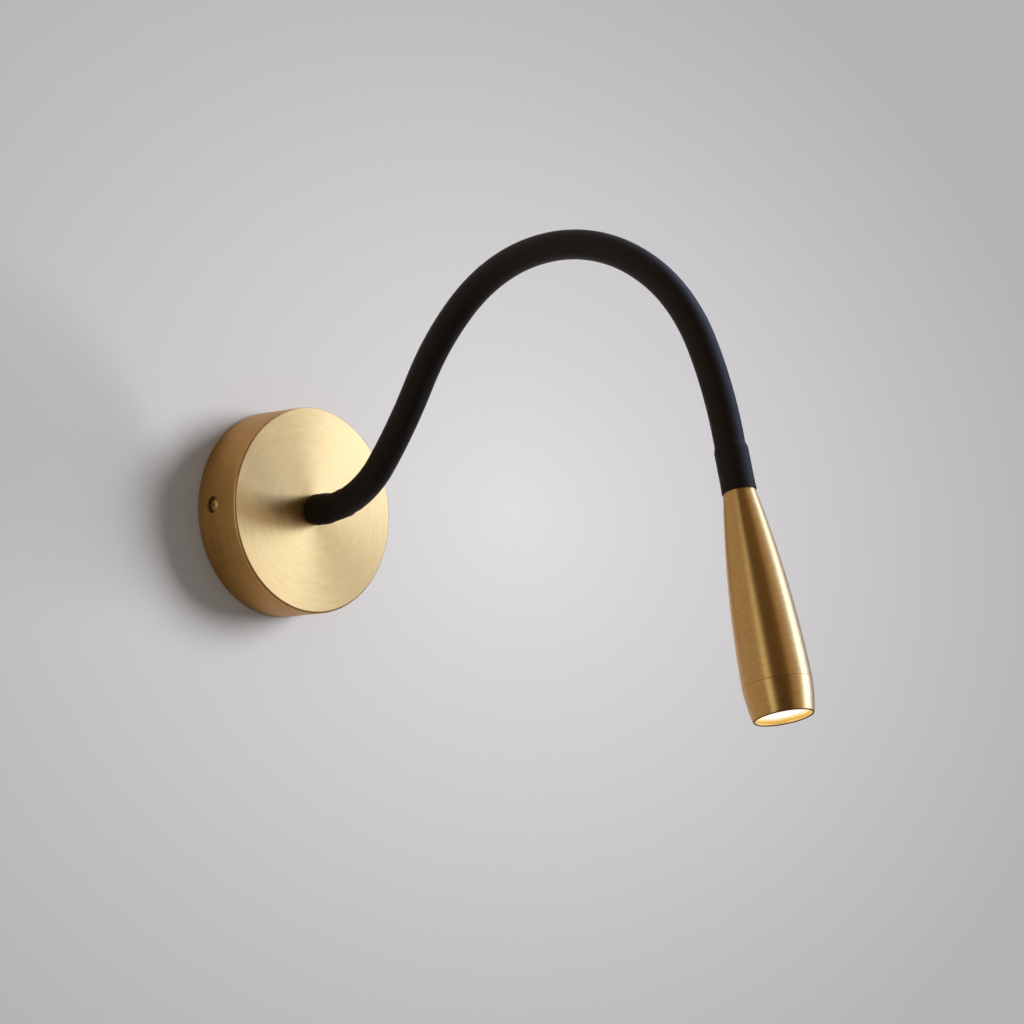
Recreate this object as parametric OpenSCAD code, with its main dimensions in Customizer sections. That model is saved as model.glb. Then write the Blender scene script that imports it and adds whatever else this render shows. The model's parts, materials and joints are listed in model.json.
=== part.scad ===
// Adjustable wall light: a round brass canopy, a sleeved gooseneck arm and a turned lamp head.
// Row frame: X to the right, -Y out of the wall, +Z up, in millimetres.
// The origin is the middle of the canopy's back, on the wall.
// The modules work in the wall's frame: X to the right, Y up, Z out of the wall.

/* [Canopy] */
// Diameter of the canopy
canopy_d = 90; // [90:1:120]
// How far the canopy stands out from the wall
canopy_depth = 24; // [24:0.5:32]
// Thickness of the canopy's round side
canopy_wall = 1.2; // [0.8:0.1:1.6]
// Thickness of the canopy's face
canopy_face = 1.5; // [1:0.1:2]
// Rounding of the canopy's front edge
canopy_edge_r = 0.8; // [0.4:0.1:1.2]

/* [Wall bracket] */
// Thickness of the steel strap
strap_t = 1.5; // [1:0.1:2]
// Width of the strap
strap_w = 20; // [18:0.5:22]
// Width of the two bent ears
ear_w = 12; // [9:0.5:14]
// How far the ears reach out from the wall
ear_reach = 14.5; // [13:0.5:17]
// Gap between the ears and the inside of the canopy
ear_gap = 0.8; // [0.7:0.1:1.5]
// Outer radius of the bend between the strap and an ear
ear_bend_r = 2.5; // [2:0.1:3.5]
// Distance between the two slots for the wall screws
slot_spacing = 60; // [54:1:64]
// Width of a slot
slot_w = 4.5; // [3.5:0.1:5.5]
// Length of a slot, end to end
slot_len = 10; // [7:0.5:12]
// Hole in the strap for the supply cable
cable_hole_d = 12; // [8:0.5:13]

/* [Side screws] */
// Thread of the screws in the canopy's side
side_screw_d = 3; // [2.5:0.1:4]
// Length of a side screw under its head
side_screw_len = 6; // [4:0.5:8]
// Diameter of the button head
side_head_d = 5.7; // [5:0.1:6.5]
// Height of the button head
side_head_h = 1.65; // [1.2:0.05:2]
// Hexagon socket, across flats
side_socket = 2; // [1.5:0.1:2.5]
// Hole in the canopy's side that the head stands in
side_hole_d = 7.4; // [7:0.1:9]
// Distance of the side screws from the wall
side_screw_out = 9.2; // [8.5:0.1:10.5]

/* [Earth screw] */
// Thread of the earth screw
earth_d = 4; // [3:0.1:4.5]
// Diameter of its head
earth_head_d = 7; // [6:0.1:8]
// Height of its head
earth_head_h = 2.4; // [2:0.1:3]
// Distance of the earth screw from the middle of the strap
earth_x = 15; // [13:0.5:17]
// Height of the collar drawn up round its thread
earth_collar_h = 1; // [0.6:0.1:1.5]
// Wall of that collar
earth_collar_wall = 1.2; // [0.8:0.1:1.6]
// Thickness of the crimped ring on the earth lead
ring_t = 0.8; // [0.6:0.1:1.2]
// Length of the ring's crimped barrel
barrel_len = 4; // [3:0.5:5]
// Wall of the barrel
barrel_wall = 0.6; // [0.4:0.1:0.8]

/* [Driver] */
// Length of the driver's case
driver_l = 44; // [40:1:46]
// Width of the case
driver_w = 20; // [18:0.5:21]
// Height of the case with its lid
driver_h = 15; // [13:0.5:16]
// Wall of the case
driver_wall = 1.2; // [1:0.1:1.6]
// Thickness of the circuit board
board_t = 1.2; // [0.8:0.1:1.6]
// Length of the transformer's core
transformer_l = 12; // [9:0.5:13]
// Width of the core
transformer_w = 11; // [8:0.5:13]
// Height of the transformer over its winding
transformer_h = 6.6; // [5:0.1:7.4]
// Diameter of a capacitor
capacitor_d = 6; // [4:0.5:7]
// Height of a capacitor
capacitor_h = 6.5; // [5:0.1:7.4]
// Thickness of the mounting tape
tape_t = 0.8; // [0.5:0.1:1.2]

/* [Terminal block] */
// Distance between two poles
pole_pitch = 8; // [7.5:0.5:10]
// Number of poles
poles = 3; // [3:1:3]
// Length of the block along the wires
block_l = 17; // [16:0.5:18]
// Thickness of the block without its screw towers
block_t = 9.5; // [9:0.5:11]
// Height of a screw tower
tower_h = 3.5; // [2.5:0.5:4]
// Wall of a screw tower
tower_wall = 1.5; // [1:0.1:1.8]
// Hole between two poles, for a fixing screw
saddle_d = 3; // [2.2:0.1:3.2]
// Outer diameter of a brass clamp tube
clamp_d = 4.2; // [3.8:0.1:4.8]
// Bore of a clamp tube
clamp_bore = 2.8; // [2.4:0.1:3]
// Thread of a clamp screw
clamp_screw_d = 3; // [2.5:0.1:3.5]

/* [Arm] */
// Straight stub between the canopy and the first bend
stub_len = 8; // [7:0.5:14]
// Length of one bending stretch of the arm
stretch_len = 40; // [36:0.5:46]
// Straight end between the last bend and the lamp head
tail_len = 24; // [22:0.5:30]
// Bend of stretch 1 as photographed, in degrees, positive upwards
bend_1 = 49; // [35:1:54]
// Bend of stretch 2
bend_2 = 10; // [2:1:18]
// Bend of stretch 3
bend_3 = -20; // [-30:1:-10]
// Bend of stretch 4
bend_4 = -28; // [-36:1:-20]
// Bend of stretch 5
bend_5 = -24; // [-32:1:-16]
// Bend of stretch 6
bend_6 = -24; // [-32:1:-16]
// Bend of stretch 7
bend_7 = -27; // [-36:1:-18]
// Bend of stretch 8
bend_8 = -12; // [-20:1:-4]
// Diameter of the wound steel core
core_d = 10; // [9.4:0.1:10.4]
// Bore of the core
core_bore = 5.6; // [5.2:0.1:6.4]
// Break in the solid core round each bending point
core_break = 4.6; // [4.4:0.2:6]
// Wall of the silicone sleeve
sleeve_wall = 0.85; // [0.6:0.05:1.2]
// Clearance between the sleeve and what it covers
sleeve_gap = 0.3; // [0.2:0.05:0.4]

/* [Ferrules] */
// Diameter of the two ferrules on the core's ends
ferrule_d = 11.4; // [11.2:0.1:12]
// Thread that holds the arm in the canopy
nipple_d = 10; // [9:0.1:10]
// Thickness of the sleeve's moulded foot on the canopy
foot_t = 1.2; // [0.8:0.1:1.6]
// Rounding of the sleeve's foot
foot_r = 1.5; // [1:0.1:1.6]
// Length of the ferrule at the lamp
lamp_ferrule_len = 18; // [15:0.5:20]
// Thread that holds the lamp head
spigot_d = 8; // [7:0.1:9]
// Length of that thread
spigot_len = 8; // [6:0.5:10]
// Length of the core that sits in the lamp ferrule
core_grip = 14; // [10:0.5:16]
// Across flats of the nut behind the canopy's face
nut_af = 14; // [13:0.5:15]
// Thickness of the nut
nut_t = 4; // [3:0.1:5]
// Diameter of the toothed washer
washer_d = 15; // [14:0.5:17]
// Thickness of the washer
washer_t = 0.8; // [0.5:0.1:1.2]
// Diameter of the notches between its teeth
notch_d = 1.4; // [1:0.1:1.8]
// Length of thread left beyond the nut
thread_spare = 2.2; // [1:0.1:3]

/* [Lamp head] */
// Length of the turned head without its nose ring
head_len = 78; // [74:0.5:86]
// Diameter of the head where it meets the arm
head_top_d = 12.9; // [12.8:0.1:14]
// Largest diameter of the head, at the nose ring
head_max_d = 27.4; // [27:0.1:30]
// How far the head's side bulges past a straight taper
head_bulge = 1.6; // [0.8:0.1:2.2]
// Length of the nose ring
nose_len = 13.5; // [13.5:0.5:18]
// Outer diameter at the mouth
mouth_d = 24; // [23.8:0.1:26]
// How far the nose ring bulges past a straight taper
nose_bulge = 0.25; // [0.1:0.05:0.5]
// Width of the lip at the mouth
mouth_lip = 0.5; // [0.3:0.05:0.6]
// Chamfer at the seam between head and nose ring
seam = 0.15; // [0.1:0.05:0.3]
// Wall of the head outside the nose ring's thread
thread_wall = 1.4; // [1.2:0.1:1.6]
// Length of the nose ring's thread
thread_len = 6; // [4:0.5:7]
// Depth of the threaded hole in the head's top
socket_depth = 12; // [11:0.5:14]
// Narrow bore behind it
narrow_bore_d = 12; // [9:0.5:12.5]
// Depth at which the narrow bore widens
narrow_bore_end = 36; // [34:0.5:38]
// Wide bore in front of the narrow one
wide_bore_d = 19; // [18:0.5:19.5]

/* [Light source] */
// Diameter of the aluminium heat sink
sink_d = 22.3; // [22:0.1:22.6]
// Length of the heat sink
sink_len = 15; // [10:0.5:16]
// Diameter of the lens and its holder
optic_d = 21.8; // [21.4:0.1:21.9]
// Length of the lens holder
holder_len = 15.6; // [14:0.2:17]
// Wall of the lens holder
holder_wall = 0.7; // [0.5:0.1:0.9]
// Thickness of the holder's floor
holder_floor = 0.8; // [0.6:0.1:1.2]
// Thickness of the lens's flange
lens_flange = 1.6; // [1:0.1:2]
// Diameter of the lens at the light source
lens_small_d = 8.8; // [8.6:0.1:10]
// Distance of the lens from the mouth
mouth_recess = 3; // [2.5:0.1:4]
// Width of the lip that holds the lens
lens_lip = 0.4; // [0.3:0.1:0.5]
// Thickness of that lip
lens_lip_t = 0.8; // [0.5:0.1:1.2]
// Radius of the pocket in the lens over the LED
pocket_r = 3; // [2.6:0.1:3.4]
// Depth of the pocket
pocket_depth = 3.8; // [3.2:0.1:5]
// Side of the square LED package
led_w = 5; // [4:0.1:5.4]
// Distance of the solder pads from the middle of the board
pad_offset = 7.2; // [7:0.1:7.6]

/* [Leads] */
// Diameter of the two lamp leads
lead_d = 1.8; // [1.4:0.1:1.9]
// Distance between the two lamp leads
lead_pitch = 2.2; // [2.1:0.1:2.6]
// Diameter of the mains and earth leads
mains_d = 2.2; // [1.8:0.1:2.3]

/* [Hidden] */
$fn = 72;
// Number of straight pieces in a long turned curve
curve_steps = 16;
// Clearances: a thread in its hole, a part in its seat
thread_fit = 0.05;
seat_fit = 0.05;
// Bend radius of a lead inside a housing
lead_bend_r = 2.4;
// Number of short straight pieces in each bend of a lead, and of a lead's sides
lead_bend_steps = 4;
lead_sides = 10;

brass = "#C6A05A";
steel = "#B9BCC0";
dark_steel = "#7E8286";
silicone = "#1B1B1D";
white_plastic = "#ECECE6";
aluminium = "#C9CCD0";
clear_lens = "#DDE6EA";
live_brown = "#6B3F22";

bends = [bend_1, bend_2, bend_3, bend_4, bend_5, bend_6, bend_7, bend_8];
stretches = len(bends);

canopy_r = canopy_d / 2;
canopy_inner_r = canopy_r - canopy_wall;
// Distance of the canopy's inner face from the wall
inner_face = canopy_depth - canopy_face;
ear_x = canopy_inner_r - ear_gap;

core_r = core_d / 2;
sleeve_inner_r = core_r + sleeve_gap;
sleeve_outer_r = sleeve_inner_r + sleeve_wall;
ferrule_r = ferrule_d / 2;
cuff_inner_r = ferrule_r + sleeve_gap;
cuff_outer_r = cuff_inner_r + sleeve_wall;
// Length over which the sleeve narrows beside a ferrule
cuff_taper = 1.2;
// Thickness of the ferrule's end under the core
ferrule_floor = 2;
// Where two lengths of the arm meet at a tangent, a slightly thicker collar joins them
collar_t = 0.05;
collar_len = 0.4;
// Each length stops this far from the place where they meet
collar_cut = collar_len / 4;

nut_out = inner_face - washer_t - nut_t;
nipple_end = nut_out - thread_spare;
ferrule_out = canopy_depth + foot_t;

// What is stuck to the canopy's inner face starts above and below the nut
driver_gap = 7;
block_gap = 9;
tape_out = inner_face - tape_t;
driver_y = nut_af / 2 + driver_gap;
block_y = -(nut_af / 2 + block_gap);
block_w = pole_pitch * poles;
block_out = tape_out - block_t;
// Distance of the wire holes from the block's glued back
wire_depth = 4.7;
wire_out = tape_out - wire_depth;
clamp_len = block_l - 2;
// Distance of the clamp screws from the block's ends
clamp_screw_in = 4.2;
// How far a lead reaches into its clamp
lead_in_clamp = 6;

// The lamp leads leave the driver far enough behind the hollow thread to turn into it
output_out = nipple_end - lead_bend_r - 0.6;
// The mains leads run along the ends of the block and of the driver, one behind the other
driver_lane = 2.5;
block_lane = 3.2;
mains_x = -(driver_l / 2 + driver_lane);
mains_y = block_y + block_lane;
mains_step = 2.6;
// How far a lead reaches through a wall of the case
lead_through = 1.2;

// The circuit board stands on short feet on the driver's lid
board_foot = 1;
board_foot_d = 2.4;
board_margin = 0.3;
// How far the transformer's winding stands back from its core's sides and out over its faces
winding_in = 1.5;
winding_over = 1.3;
// Mounting tape stays this far inside the edges of what it holds
tape_margin = 2;
board_out = tape_out - driver_h + driver_wall + board_foot;
parts_out = board_out + board_t;

// The crimped ring is a little wider than the screw's head, and its barrel lies beside the head
ring_margin = 0.3;
barrel_y = -(earth_head_d + barrel_len) / 2 - 2.5;
// How far the earth lead bows out before it turns into the barrel
earth_bow = 9;

head_total = head_len + nose_len;
head_max_r = head_max_d / 2;
lens_front = head_total - mouth_recess;
holder_front = lens_front - lens_flange;
led_board_front = holder_front - holder_len;
led_board_back = led_board_front - board_t;
sink_back = led_board_back - sink_len;
nose_thread_r = head_max_r - thread_wall;
optic_r = optic_d / 2;
// The two leads stand further apart at the solder pads
pad_pitch = 3.2;
led_h = 0.7;
led_dome_r = 1.6;

// Turns the wall's frame into the row frame
module out_of_wall() {
    rotate([90, 0, 0]) children();
}

function sum_to(list, n) = n == 0 ? 0 : list[n - 1] + sum_to(list, n - 1);

// The arm lies in the plane X = 0. A point there is [up, out].
// Direction of the arm where stretch k starts, in degrees above straight out
function angle_at(k) = sum_to(bends, k);

// End of an arc of this length and bend, seen from its start
function arc_end(length, bend) =
    abs(bend) < 0.01 ? [0, length]
    : let (r = length / (bend * PI / 180)) [r * (1 - cos(bend)), r * sin(bend)];

function turned(p, a) = [p[0] * cos(a) + p[1] * sin(a), p[1] * cos(a) - p[0] * sin(a)];

function stretch_start(k) =
    k == 0 ? [0, canopy_depth + stub_len]
    : stretch_start(k - 1) + turned(arc_end(stretch_len, bends[k - 1]), angle_at(k - 1));

// Places a part on the arm's centre line, s into stretch k, with Z along the arm
module along_arm(k, s = 0) {
    bend = k < stretches ? bends[k] * s / stretch_len : 0;
    p = stretch_start(k) + turned(arc_end(s, bend), angle_at(k));
    translate([0, p[0], p[1]]) rotate([-(angle_at(k) + bend), 0, 0]) children();
}

// Carries a flat section along an arc that starts along Z and bends towards Y
module bent(length, bend) {
    if (abs(bend) < 0.01) {
        linear_extrude(length) rotate(-90) children();
    } else {
        r = length / (abs(bend) * PI / 180);
        rotate([0, 0, bend < 0 ? 180 : 0]) translate([0, r, 0]) rotate([90, 0, -90])
            rotate_extrude(angle = abs(bend)) translate([r, 0]) children();
    }
}

// Part of stretch k between two distances from its start
module stretch_part(k, from, to) {
    along_arm(k, from) bent(to - from, bends[k] * (to - from) / stretch_len) children();
}

// Collar round the place where stretch k starts
module collar(k) {
    along_arm(k) translate([0, 0, -collar_len / 2]) linear_extrude(collar_len) children();
}

module ring(outer_r, inner_r) {
    difference() {
        circle(outer_r);
        circle(inner_r);
    }
}

module tube(outer_r, inner_r, length) {
    linear_extrude(length) ring(outer_r, inner_r);
}

// A lead's route with its corners rounded
function unit(v) = v / norm(v);
function corner(a, b, c, r) =
    let (u = unit(a - b), w = unit(c - b))
    norm(u + w) < 0.01 ? [b]
    : let (
        half = acos(u * w) / 2,
        cut = r / tan(half),
        middle = b + unit(u + w) * (r / sin(half)),
        from = b + u * cut,
        to = b + w * cut
    )
    [for (i = [0:lead_bend_steps])
        middle + unit(from + (to - from) * i / lead_bend_steps - middle) * r];
function rounded(points, r) =
    let (last = len(points) - 1)
    [
        points[0],
        for (i = [1:last - 1]) each corner(points[i - 1], points[i], points[i + 1], r),
        points[last]
    ];

// One lead along a route. The route never runs along the direction 'side'.
module wire(points, d, side) {
    route = rounded(points, lead_bend_r);
    last = len(route) - 1;
    n = lead_sides;
    skin = [
        for (i = [0:last])
            let (
                along = unit(route[min(i + 1, last)] - route[max(i - 1, 0)]),
                u = unit(cross(side, along)),
                w = cross(along, u)
            )
            for (a = [0:n - 1])
                route[i] + (u * cos(a * 360 / n) + w * sin(a * 360 / n)) * d / 2
    ];
    start = [[for (a = [0:n - 1]) a]];
    end = [[for (a = [n - 1:-1:0]) last * n + a]];
    walls = [
        for (i = [0:last - 1], a = [0:n - 1])
            let (p = i * n + a, q = i * n + (a + 1) % n)
            each [[p, p + n, q + n], [p, q + n, q]]
    ];
    polyhedron(skin, concat(start, walls, end));
}

// Round canopy, turned with a softened front edge and open at the back
module canopy() {
    color(brass) out_of_wall() difference() {
        rotate_extrude() difference() {
            union() {
                square([canopy_r, canopy_depth - canopy_edge_r]);
                square([canopy_r - canopy_edge_r, canopy_depth]);
                translate([canopy_r - canopy_edge_r, canopy_depth - canopy_edge_r])
                    circle(canopy_edge_r);
            }
            square([canopy_inner_r, inner_face]);
            square([nipple_d / 2 + thread_fit * 2, canopy_depth]);
        }
        for (side = [0, 180])
            rotate([0, 0, side]) translate([canopy_r - canopy_wall * 2, 0, side_screw_out])
                rotate([0, 90, 0]) cylinder(h = canopy_wall * 3, d = side_hole_d);
    }
}

// Steel strap with two bent ears that carry the canopy
module wall_bracket() {
    color(dark_steel) out_of_wall() difference() {
        union() {
            intersection() {
                translate([-ear_x, -strap_w / 2, 0])
                    cube([ear_x * 2, strap_w, strap_t]);
                cylinder(h = strap_t, r = ear_x - ear_bend_r);
            }
            rotate([90, 0, 0]) linear_extrude(ear_w, center = true) strap_section();
            translate([earth_x, 0, strap_t])
                cylinder(h = earth_collar_h, r = earth_d / 2 + earth_collar_wall);
        }
        for (x = [-1, 1] * slot_spacing / 2) wall_slot(x);
        cylinder(h = strap_t * 3, d = cable_hole_d, center = true);
        translate([earth_x, 0, -1])
            cylinder(h = strap_t + earth_collar_h + 2, d = earth_d + thread_fit * 2);
        for (side = [0, 180])
            rotate([0, 0, side]) translate([ear_x - strap_t * 2, 0, side_screw_out])
                rotate([0, 90, 0]) cylinder(h = strap_t * 3, d = side_screw_d + thread_fit * 2);
    }
}

// The strap and its ears seen from the end: X across, Y out of the wall
module strap_section() {
    for (side = [0, 1]) mirror([side, 0]) {
        square([ear_x - ear_bend_r, strap_t]);
        translate([ear_x - strap_t, ear_bend_r]) square([strap_t, ear_reach - ear_bend_r]);
        translate([ear_x - ear_bend_r, ear_bend_r]) intersection() {
            ring(ear_bend_r, ear_bend_r - strap_t);
            translate([0, -ear_bend_r]) square(ear_bend_r);
        }
    }
}

module wall_slot(x) {
    straight = slot_len - slot_w;
    translate([x, 0, -1]) linear_extrude(strap_t + 2) {
        square([straight, slot_w], center = true);
        for (end = [-1, 1]) translate([end * straight / 2, 0]) circle(d = slot_w);
    }
}

// Button-head screws, one through each ear, whose heads stand in the canopy's side
module side_screws() {
    color(brass) out_of_wall() for (side = [0, 180])
        rotate([0, 0, side]) translate([ear_x, 0, side_screw_out]) rotate([0, 90, 0]) {
            translate([0, 0, -side_screw_len]) cylinder(h = side_screw_len, d = side_screw_d);
            button_head(side_head_d, side_head_h, side_socket);
        }
}

// A domed head on Z = 0 with a hexagon socket
module button_head(d, h, socket) {
    rim = h * 0.3;
    dome = h - rim;
    dome_r = (d * d / 4 + dome * dome) / (2 * dome);
    difference() {
        intersection() {
            cylinder(h = h, d = d);
            translate([0, 0, h - dome_r]) sphere(dome_r);
        }
        translate([0, 0, h * 0.4]) cylinder(h = h, r = socket / sqrt(3), $fn = 6);
    }
}

module earth_screw() {
    seat = strap_t + earth_collar_h + ring_t;
    color(steel) out_of_wall() translate([earth_x, 0, 0]) {
        translate([0, 0, 0.2]) cylinder(h = seat - 0.2, d = earth_d);
        translate([0, 0, seat]) button_head(earth_head_d, earth_head_h, earth_d * 0.6);
    }
}

// Crimped ring under the earth screw, with its barrel
module earth_ring() {
    seat = strap_t + earth_collar_h;
    outer_r = earth_head_d / 2 + ring_margin;
    barrel_r = mains_d / 2 + barrel_wall;
    color(steel) out_of_wall() translate([earth_x, 0, seat]) difference() {
        union() {
            cylinder(h = ring_t, r = outer_r);
            translate([-barrel_r, barrel_y, 0]) cube([barrel_r * 2, -barrel_y, ring_t]);
            translate([0, barrel_y, barrel_r]) rotate([90, 0, 0])
                cylinder(h = barrel_len, r = barrel_r, center = true);
        }
        translate([0, 0, -1]) cylinder(h = ring_t + 2, d = earth_d + thread_fit * 2);
        translate([0, barrel_y, barrel_r]) rotate([90, 0, 0])
            cylinder(h = barrel_len + 2, d = mains_d + seat_fit * 2, center = true);
    }
}

// Earth lead from the third pole to the crimped ring
module earth_lead() {
    pole = pole_x(poles - 1);
    lead_out = strap_t + earth_collar_h + mains_d / 2 + barrel_wall;
    color("#7FA642") out_of_wall() wire([
        [pole, block_y - lead_in_clamp, wire_out],
        [pole, mains_y, wire_out],
        [earth_x, mains_y, wire_out - earth_bow / 2],
        [earth_x, barrel_y - earth_bow, lead_out],
        [earth_x, barrel_y, lead_out]
    ], mains_d, side = [1, 1, 1]);
}

// Driver case, open towards the wall, with holes for its leads
module driver_case() {
    color(white_plastic) out_of_wall() difference() {
        translate([-driver_l / 2, driver_y, tape_out - driver_h + driver_wall])
            cube([driver_l, driver_w, driver_h - driver_wall]);
        translate([-driver_l / 2 + driver_wall, driver_y + driver_wall, tape_out - driver_h])
            cube([driver_l, driver_w, driver_h] - [2, 2, 1] * driver_wall);
        for (x = [-1, 1] * lead_pitch / 2)
            translate([x, driver_y - 1, output_out]) rotate([-90, 0, 0])
                cylinder(h = driver_wall + 2, d = lead_d + seat_fit * 2);
        for (i = [0, 1]) translate(mains_entry(i) - [1, 0, 0]) rotate([0, 90, 0])
            cylinder(h = driver_wall + 2, d = mains_d + seat_fit * 2);
    }
}

// Where mains lead i enters the driver's end
function mains_entry(i) =
    [-driver_l / 2, driver_y + driver_w * (i == 0 ? 0.35 : 0.65), wire_out - i * mains_step];

module driver_lid() {
    color(white_plastic) out_of_wall()
        translate([-driver_l / 2, driver_y, tape_out - driver_h])
            cube([driver_l, driver_w, driver_wall]);
}

// The parts inside the driver stand on its circuit board
module driver_board() {
    edge = driver_wall + board_margin;
    color("#3E7A4B") out_of_wall() {
        translate([-driver_l / 2 + edge, driver_y + edge, board_out])
            cube([driver_l - edge * 2, driver_w - edge * 2, board_t]);
        for (x = [-1, 1] * driver_l / 3, y = [0.25, 0.75] * driver_w)
            translate([x, driver_y + y, board_out - board_foot])
                cylinder(h = board_foot, d = board_foot_d);
    }
}

module driver_transformer() {
    color("#3A3330") out_of_wall()
        translate([driver_l * 0.22, driver_y + driver_w / 2, parts_out]) {
            translate([-transformer_l / 2, -transformer_w / 2, winding_over])
                cube([transformer_l, transformer_w, transformer_h - winding_over * 2]);
            translate([winding_in - transformer_l / 2, winding_in - transformer_w / 2, 0])
                cube([transformer_l - winding_in * 2, transformer_w - winding_in * 2, transformer_h]);
        }
}

module driver_capacitors() {
    color("#26282C") out_of_wall() for (x = [-0.1, -0.3])
        translate([driver_l * x, driver_y + driver_w / 2, parts_out])
            cylinder(h = capacitor_h, d = capacitor_d);
}

module driver_tape() {
    color("#D8D8D2") out_of_wall()
        translate([tape_margin - driver_l / 2, driver_y + tape_margin, tape_out])
            cube([driver_l - tape_margin * 2, driver_w - tape_margin * 2, tape_t]);
}

// Screw terminal block, stuck behind the canopy's face
function pole_x(i) = (i - (poles - 1) / 2) * pole_pitch;
function clamp_screw_y(end) =
    block_y - block_l / 2 + end * (block_l / 2 - clamp_screw_in);

module terminal_block() {
    color(white_plastic) out_of_wall() difference() {
        union() {
            translate([-block_w / 2, block_y - block_l, block_out])
                cube([block_w, block_l, block_t]);
            for (i = [0:poles - 1], end = [-1, 1])
                translate([pole_x(i), clamp_screw_y(end), block_out - tower_h])
                    cylinder(h = tower_h, d = clamp_screw_d + tower_wall * 2);
        }
        for (i = [0:poles - 1]) {
            translate([pole_x(i), block_y + 1, wire_out]) rotate([90, 0, 0])
                cylinder(h = block_l + 2, d = clamp_d + seat_fit * 2);
            for (end = [-1, 1])
                translate([pole_x(i), clamp_screw_y(end), block_out - tower_h - 1])
                    cylinder(h = tower_h + 1 + wire_out - block_out,
                             d = clamp_screw_d + seat_fit * 2);
        }
        // Saddles between the poles, where a screw can hold the block
        for (i = [1:poles - 1])
            translate([pole_x(i) - pole_pitch / 2, block_y - block_l / 2, block_out - 1])
                cylinder(h = block_t + 2, d = saddle_d);
    }
}

module terminal_clamps() {
    color(brass) out_of_wall() for (i = [0:poles - 1])
        difference() {
            translate([pole_x(i), block_y - (block_l - clamp_len) / 2, wire_out])
                rotate([90, 0, 0]) difference() {
                    cylinder(h = clamp_len, d = clamp_d);
                    translate([0, 0, -1]) cylinder(h = clamp_len + 2, d = clamp_bore);
                }
            for (end = [-1, 1])
                translate([pole_x(i), clamp_screw_y(end), wire_out - clamp_d])
                    cylinder(h = clamp_d, d = clamp_screw_d + seat_fit * 2);
        }
}

module terminal_screws() {
    sunk = 0.8;
    slot_depth = 0.8;
    slot_width = 0.5;
    start = block_out - tower_h + sunk;
    tip = wire_out - mains_d / 2 - thread_fit * 2;
    color(steel) out_of_wall() for (i = [0:poles - 1], end = [-1, 1])
        translate([pole_x(i), clamp_screw_y(end), start]) difference() {
            cylinder(h = tip - start, d = clamp_screw_d, $fn = 32);
            translate([-clamp_screw_d, -slot_width / 2, -1])
                cube([clamp_screw_d * 2, slot_width, slot_depth + 1]);
        }
}

module terminal_tape() {
    color("#D8D8D2") out_of_wall()
        translate([tape_margin - block_w / 2, block_y - block_l + tape_margin, tape_out])
            cube([block_w - tape_margin * 2, block_l - tape_margin * 2, tape_t]);
}

// Mains leads from the first two poles round to the driver's end
module mains_leads() {
    color(live_brown) out_of_wall() for (i = [0, 1]) {
        entry = mains_entry(i);
        wire([
            [pole_x(i), block_y - lead_in_clamp, wire_out],
            [pole_x(i), mains_y, wire_out],
            [pole_x(i) - mains_step * 2, mains_y, entry[2]],
            [mains_x, mains_y, entry[2]],
            [mains_x, entry[1], entry[2]],
            entry + [driver_wall + lead_through, 0, 0]
        ], mains_d, side = [0, 0, 1]);
    }
}

// Lamp leads from the driver to the arm's hollow thread
module output_leads() {
    color(silicone) out_of_wall() for (x = [-1, 1] * lead_pitch / 2)
        wire([
            [x, driver_y + driver_wall + lead_through, output_out],
            [x, 0, output_out],
            [x, 0, nipple_end]
        ], lead_d, side = [1, 0, 0]);
}

module arm_nut() {
    color(steel) out_of_wall() translate([0, 0, nut_out]) difference() {
        cylinder(h = nut_t, r = nut_af / sqrt(3), $fn = 6);
        translate([0, 0, -1]) cylinder(h = nut_t + 2, d = nipple_d + thread_fit * 2);
    }
}

module toothed_washer() {
    teeth = 12;
    color(steel) out_of_wall() translate([0, 0, inner_face - washer_t]) difference() {
        cylinder(h = washer_t, d = washer_d);
        translate([0, 0, -1]) cylinder(h = washer_t + 2, d = nipple_d + thread_fit * 2);
        for (i = [0:teeth - 1]) rotate(i * 360 / teeth) translate([washer_d / 2, 0, -1])
            cylinder(h = washer_t + 2, d = notch_d, $fn = 24);
    }
}

// Ferrule on the wall end of the core, with the hollow thread through the canopy
module base_ferrule() {
    barrel = stub_len - foot_t - cuff_taper;
    color(steel) out_of_wall() rotate_extrude() difference() {
        union() {
            translate([0, nipple_end]) square([nipple_d / 2, ferrule_out - nipple_end]);
            translate([0, ferrule_out]) square([ferrule_r, barrel]);
        }
        translate([0, nipple_end]) square([core_bore / 2, canopy_depth]);
        translate([0, ferrule_out + ferrule_floor]) square([core_r + seat_fit, stub_len]);
    }
}

// Sleeve round stretch k. The first has the moulded foot, the last the cuff at the lamp.
module arm_sleeve(k) {
    last = k == stretches - 1;
    color(silicone) out_of_wall() {
        stretch_part(k, 0, stretch_len - (last ? collar_cut : 0))
            ring(sleeve_outer_r, sleeve_inner_r);
        if (k == 0) sleeve_foot();
        if (last) {
            collar(stretches) ring(sleeve_outer_r + collar_t, sleeve_inner_r - collar_t);
            sleeve_cuff();
        }
    }
}

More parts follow.
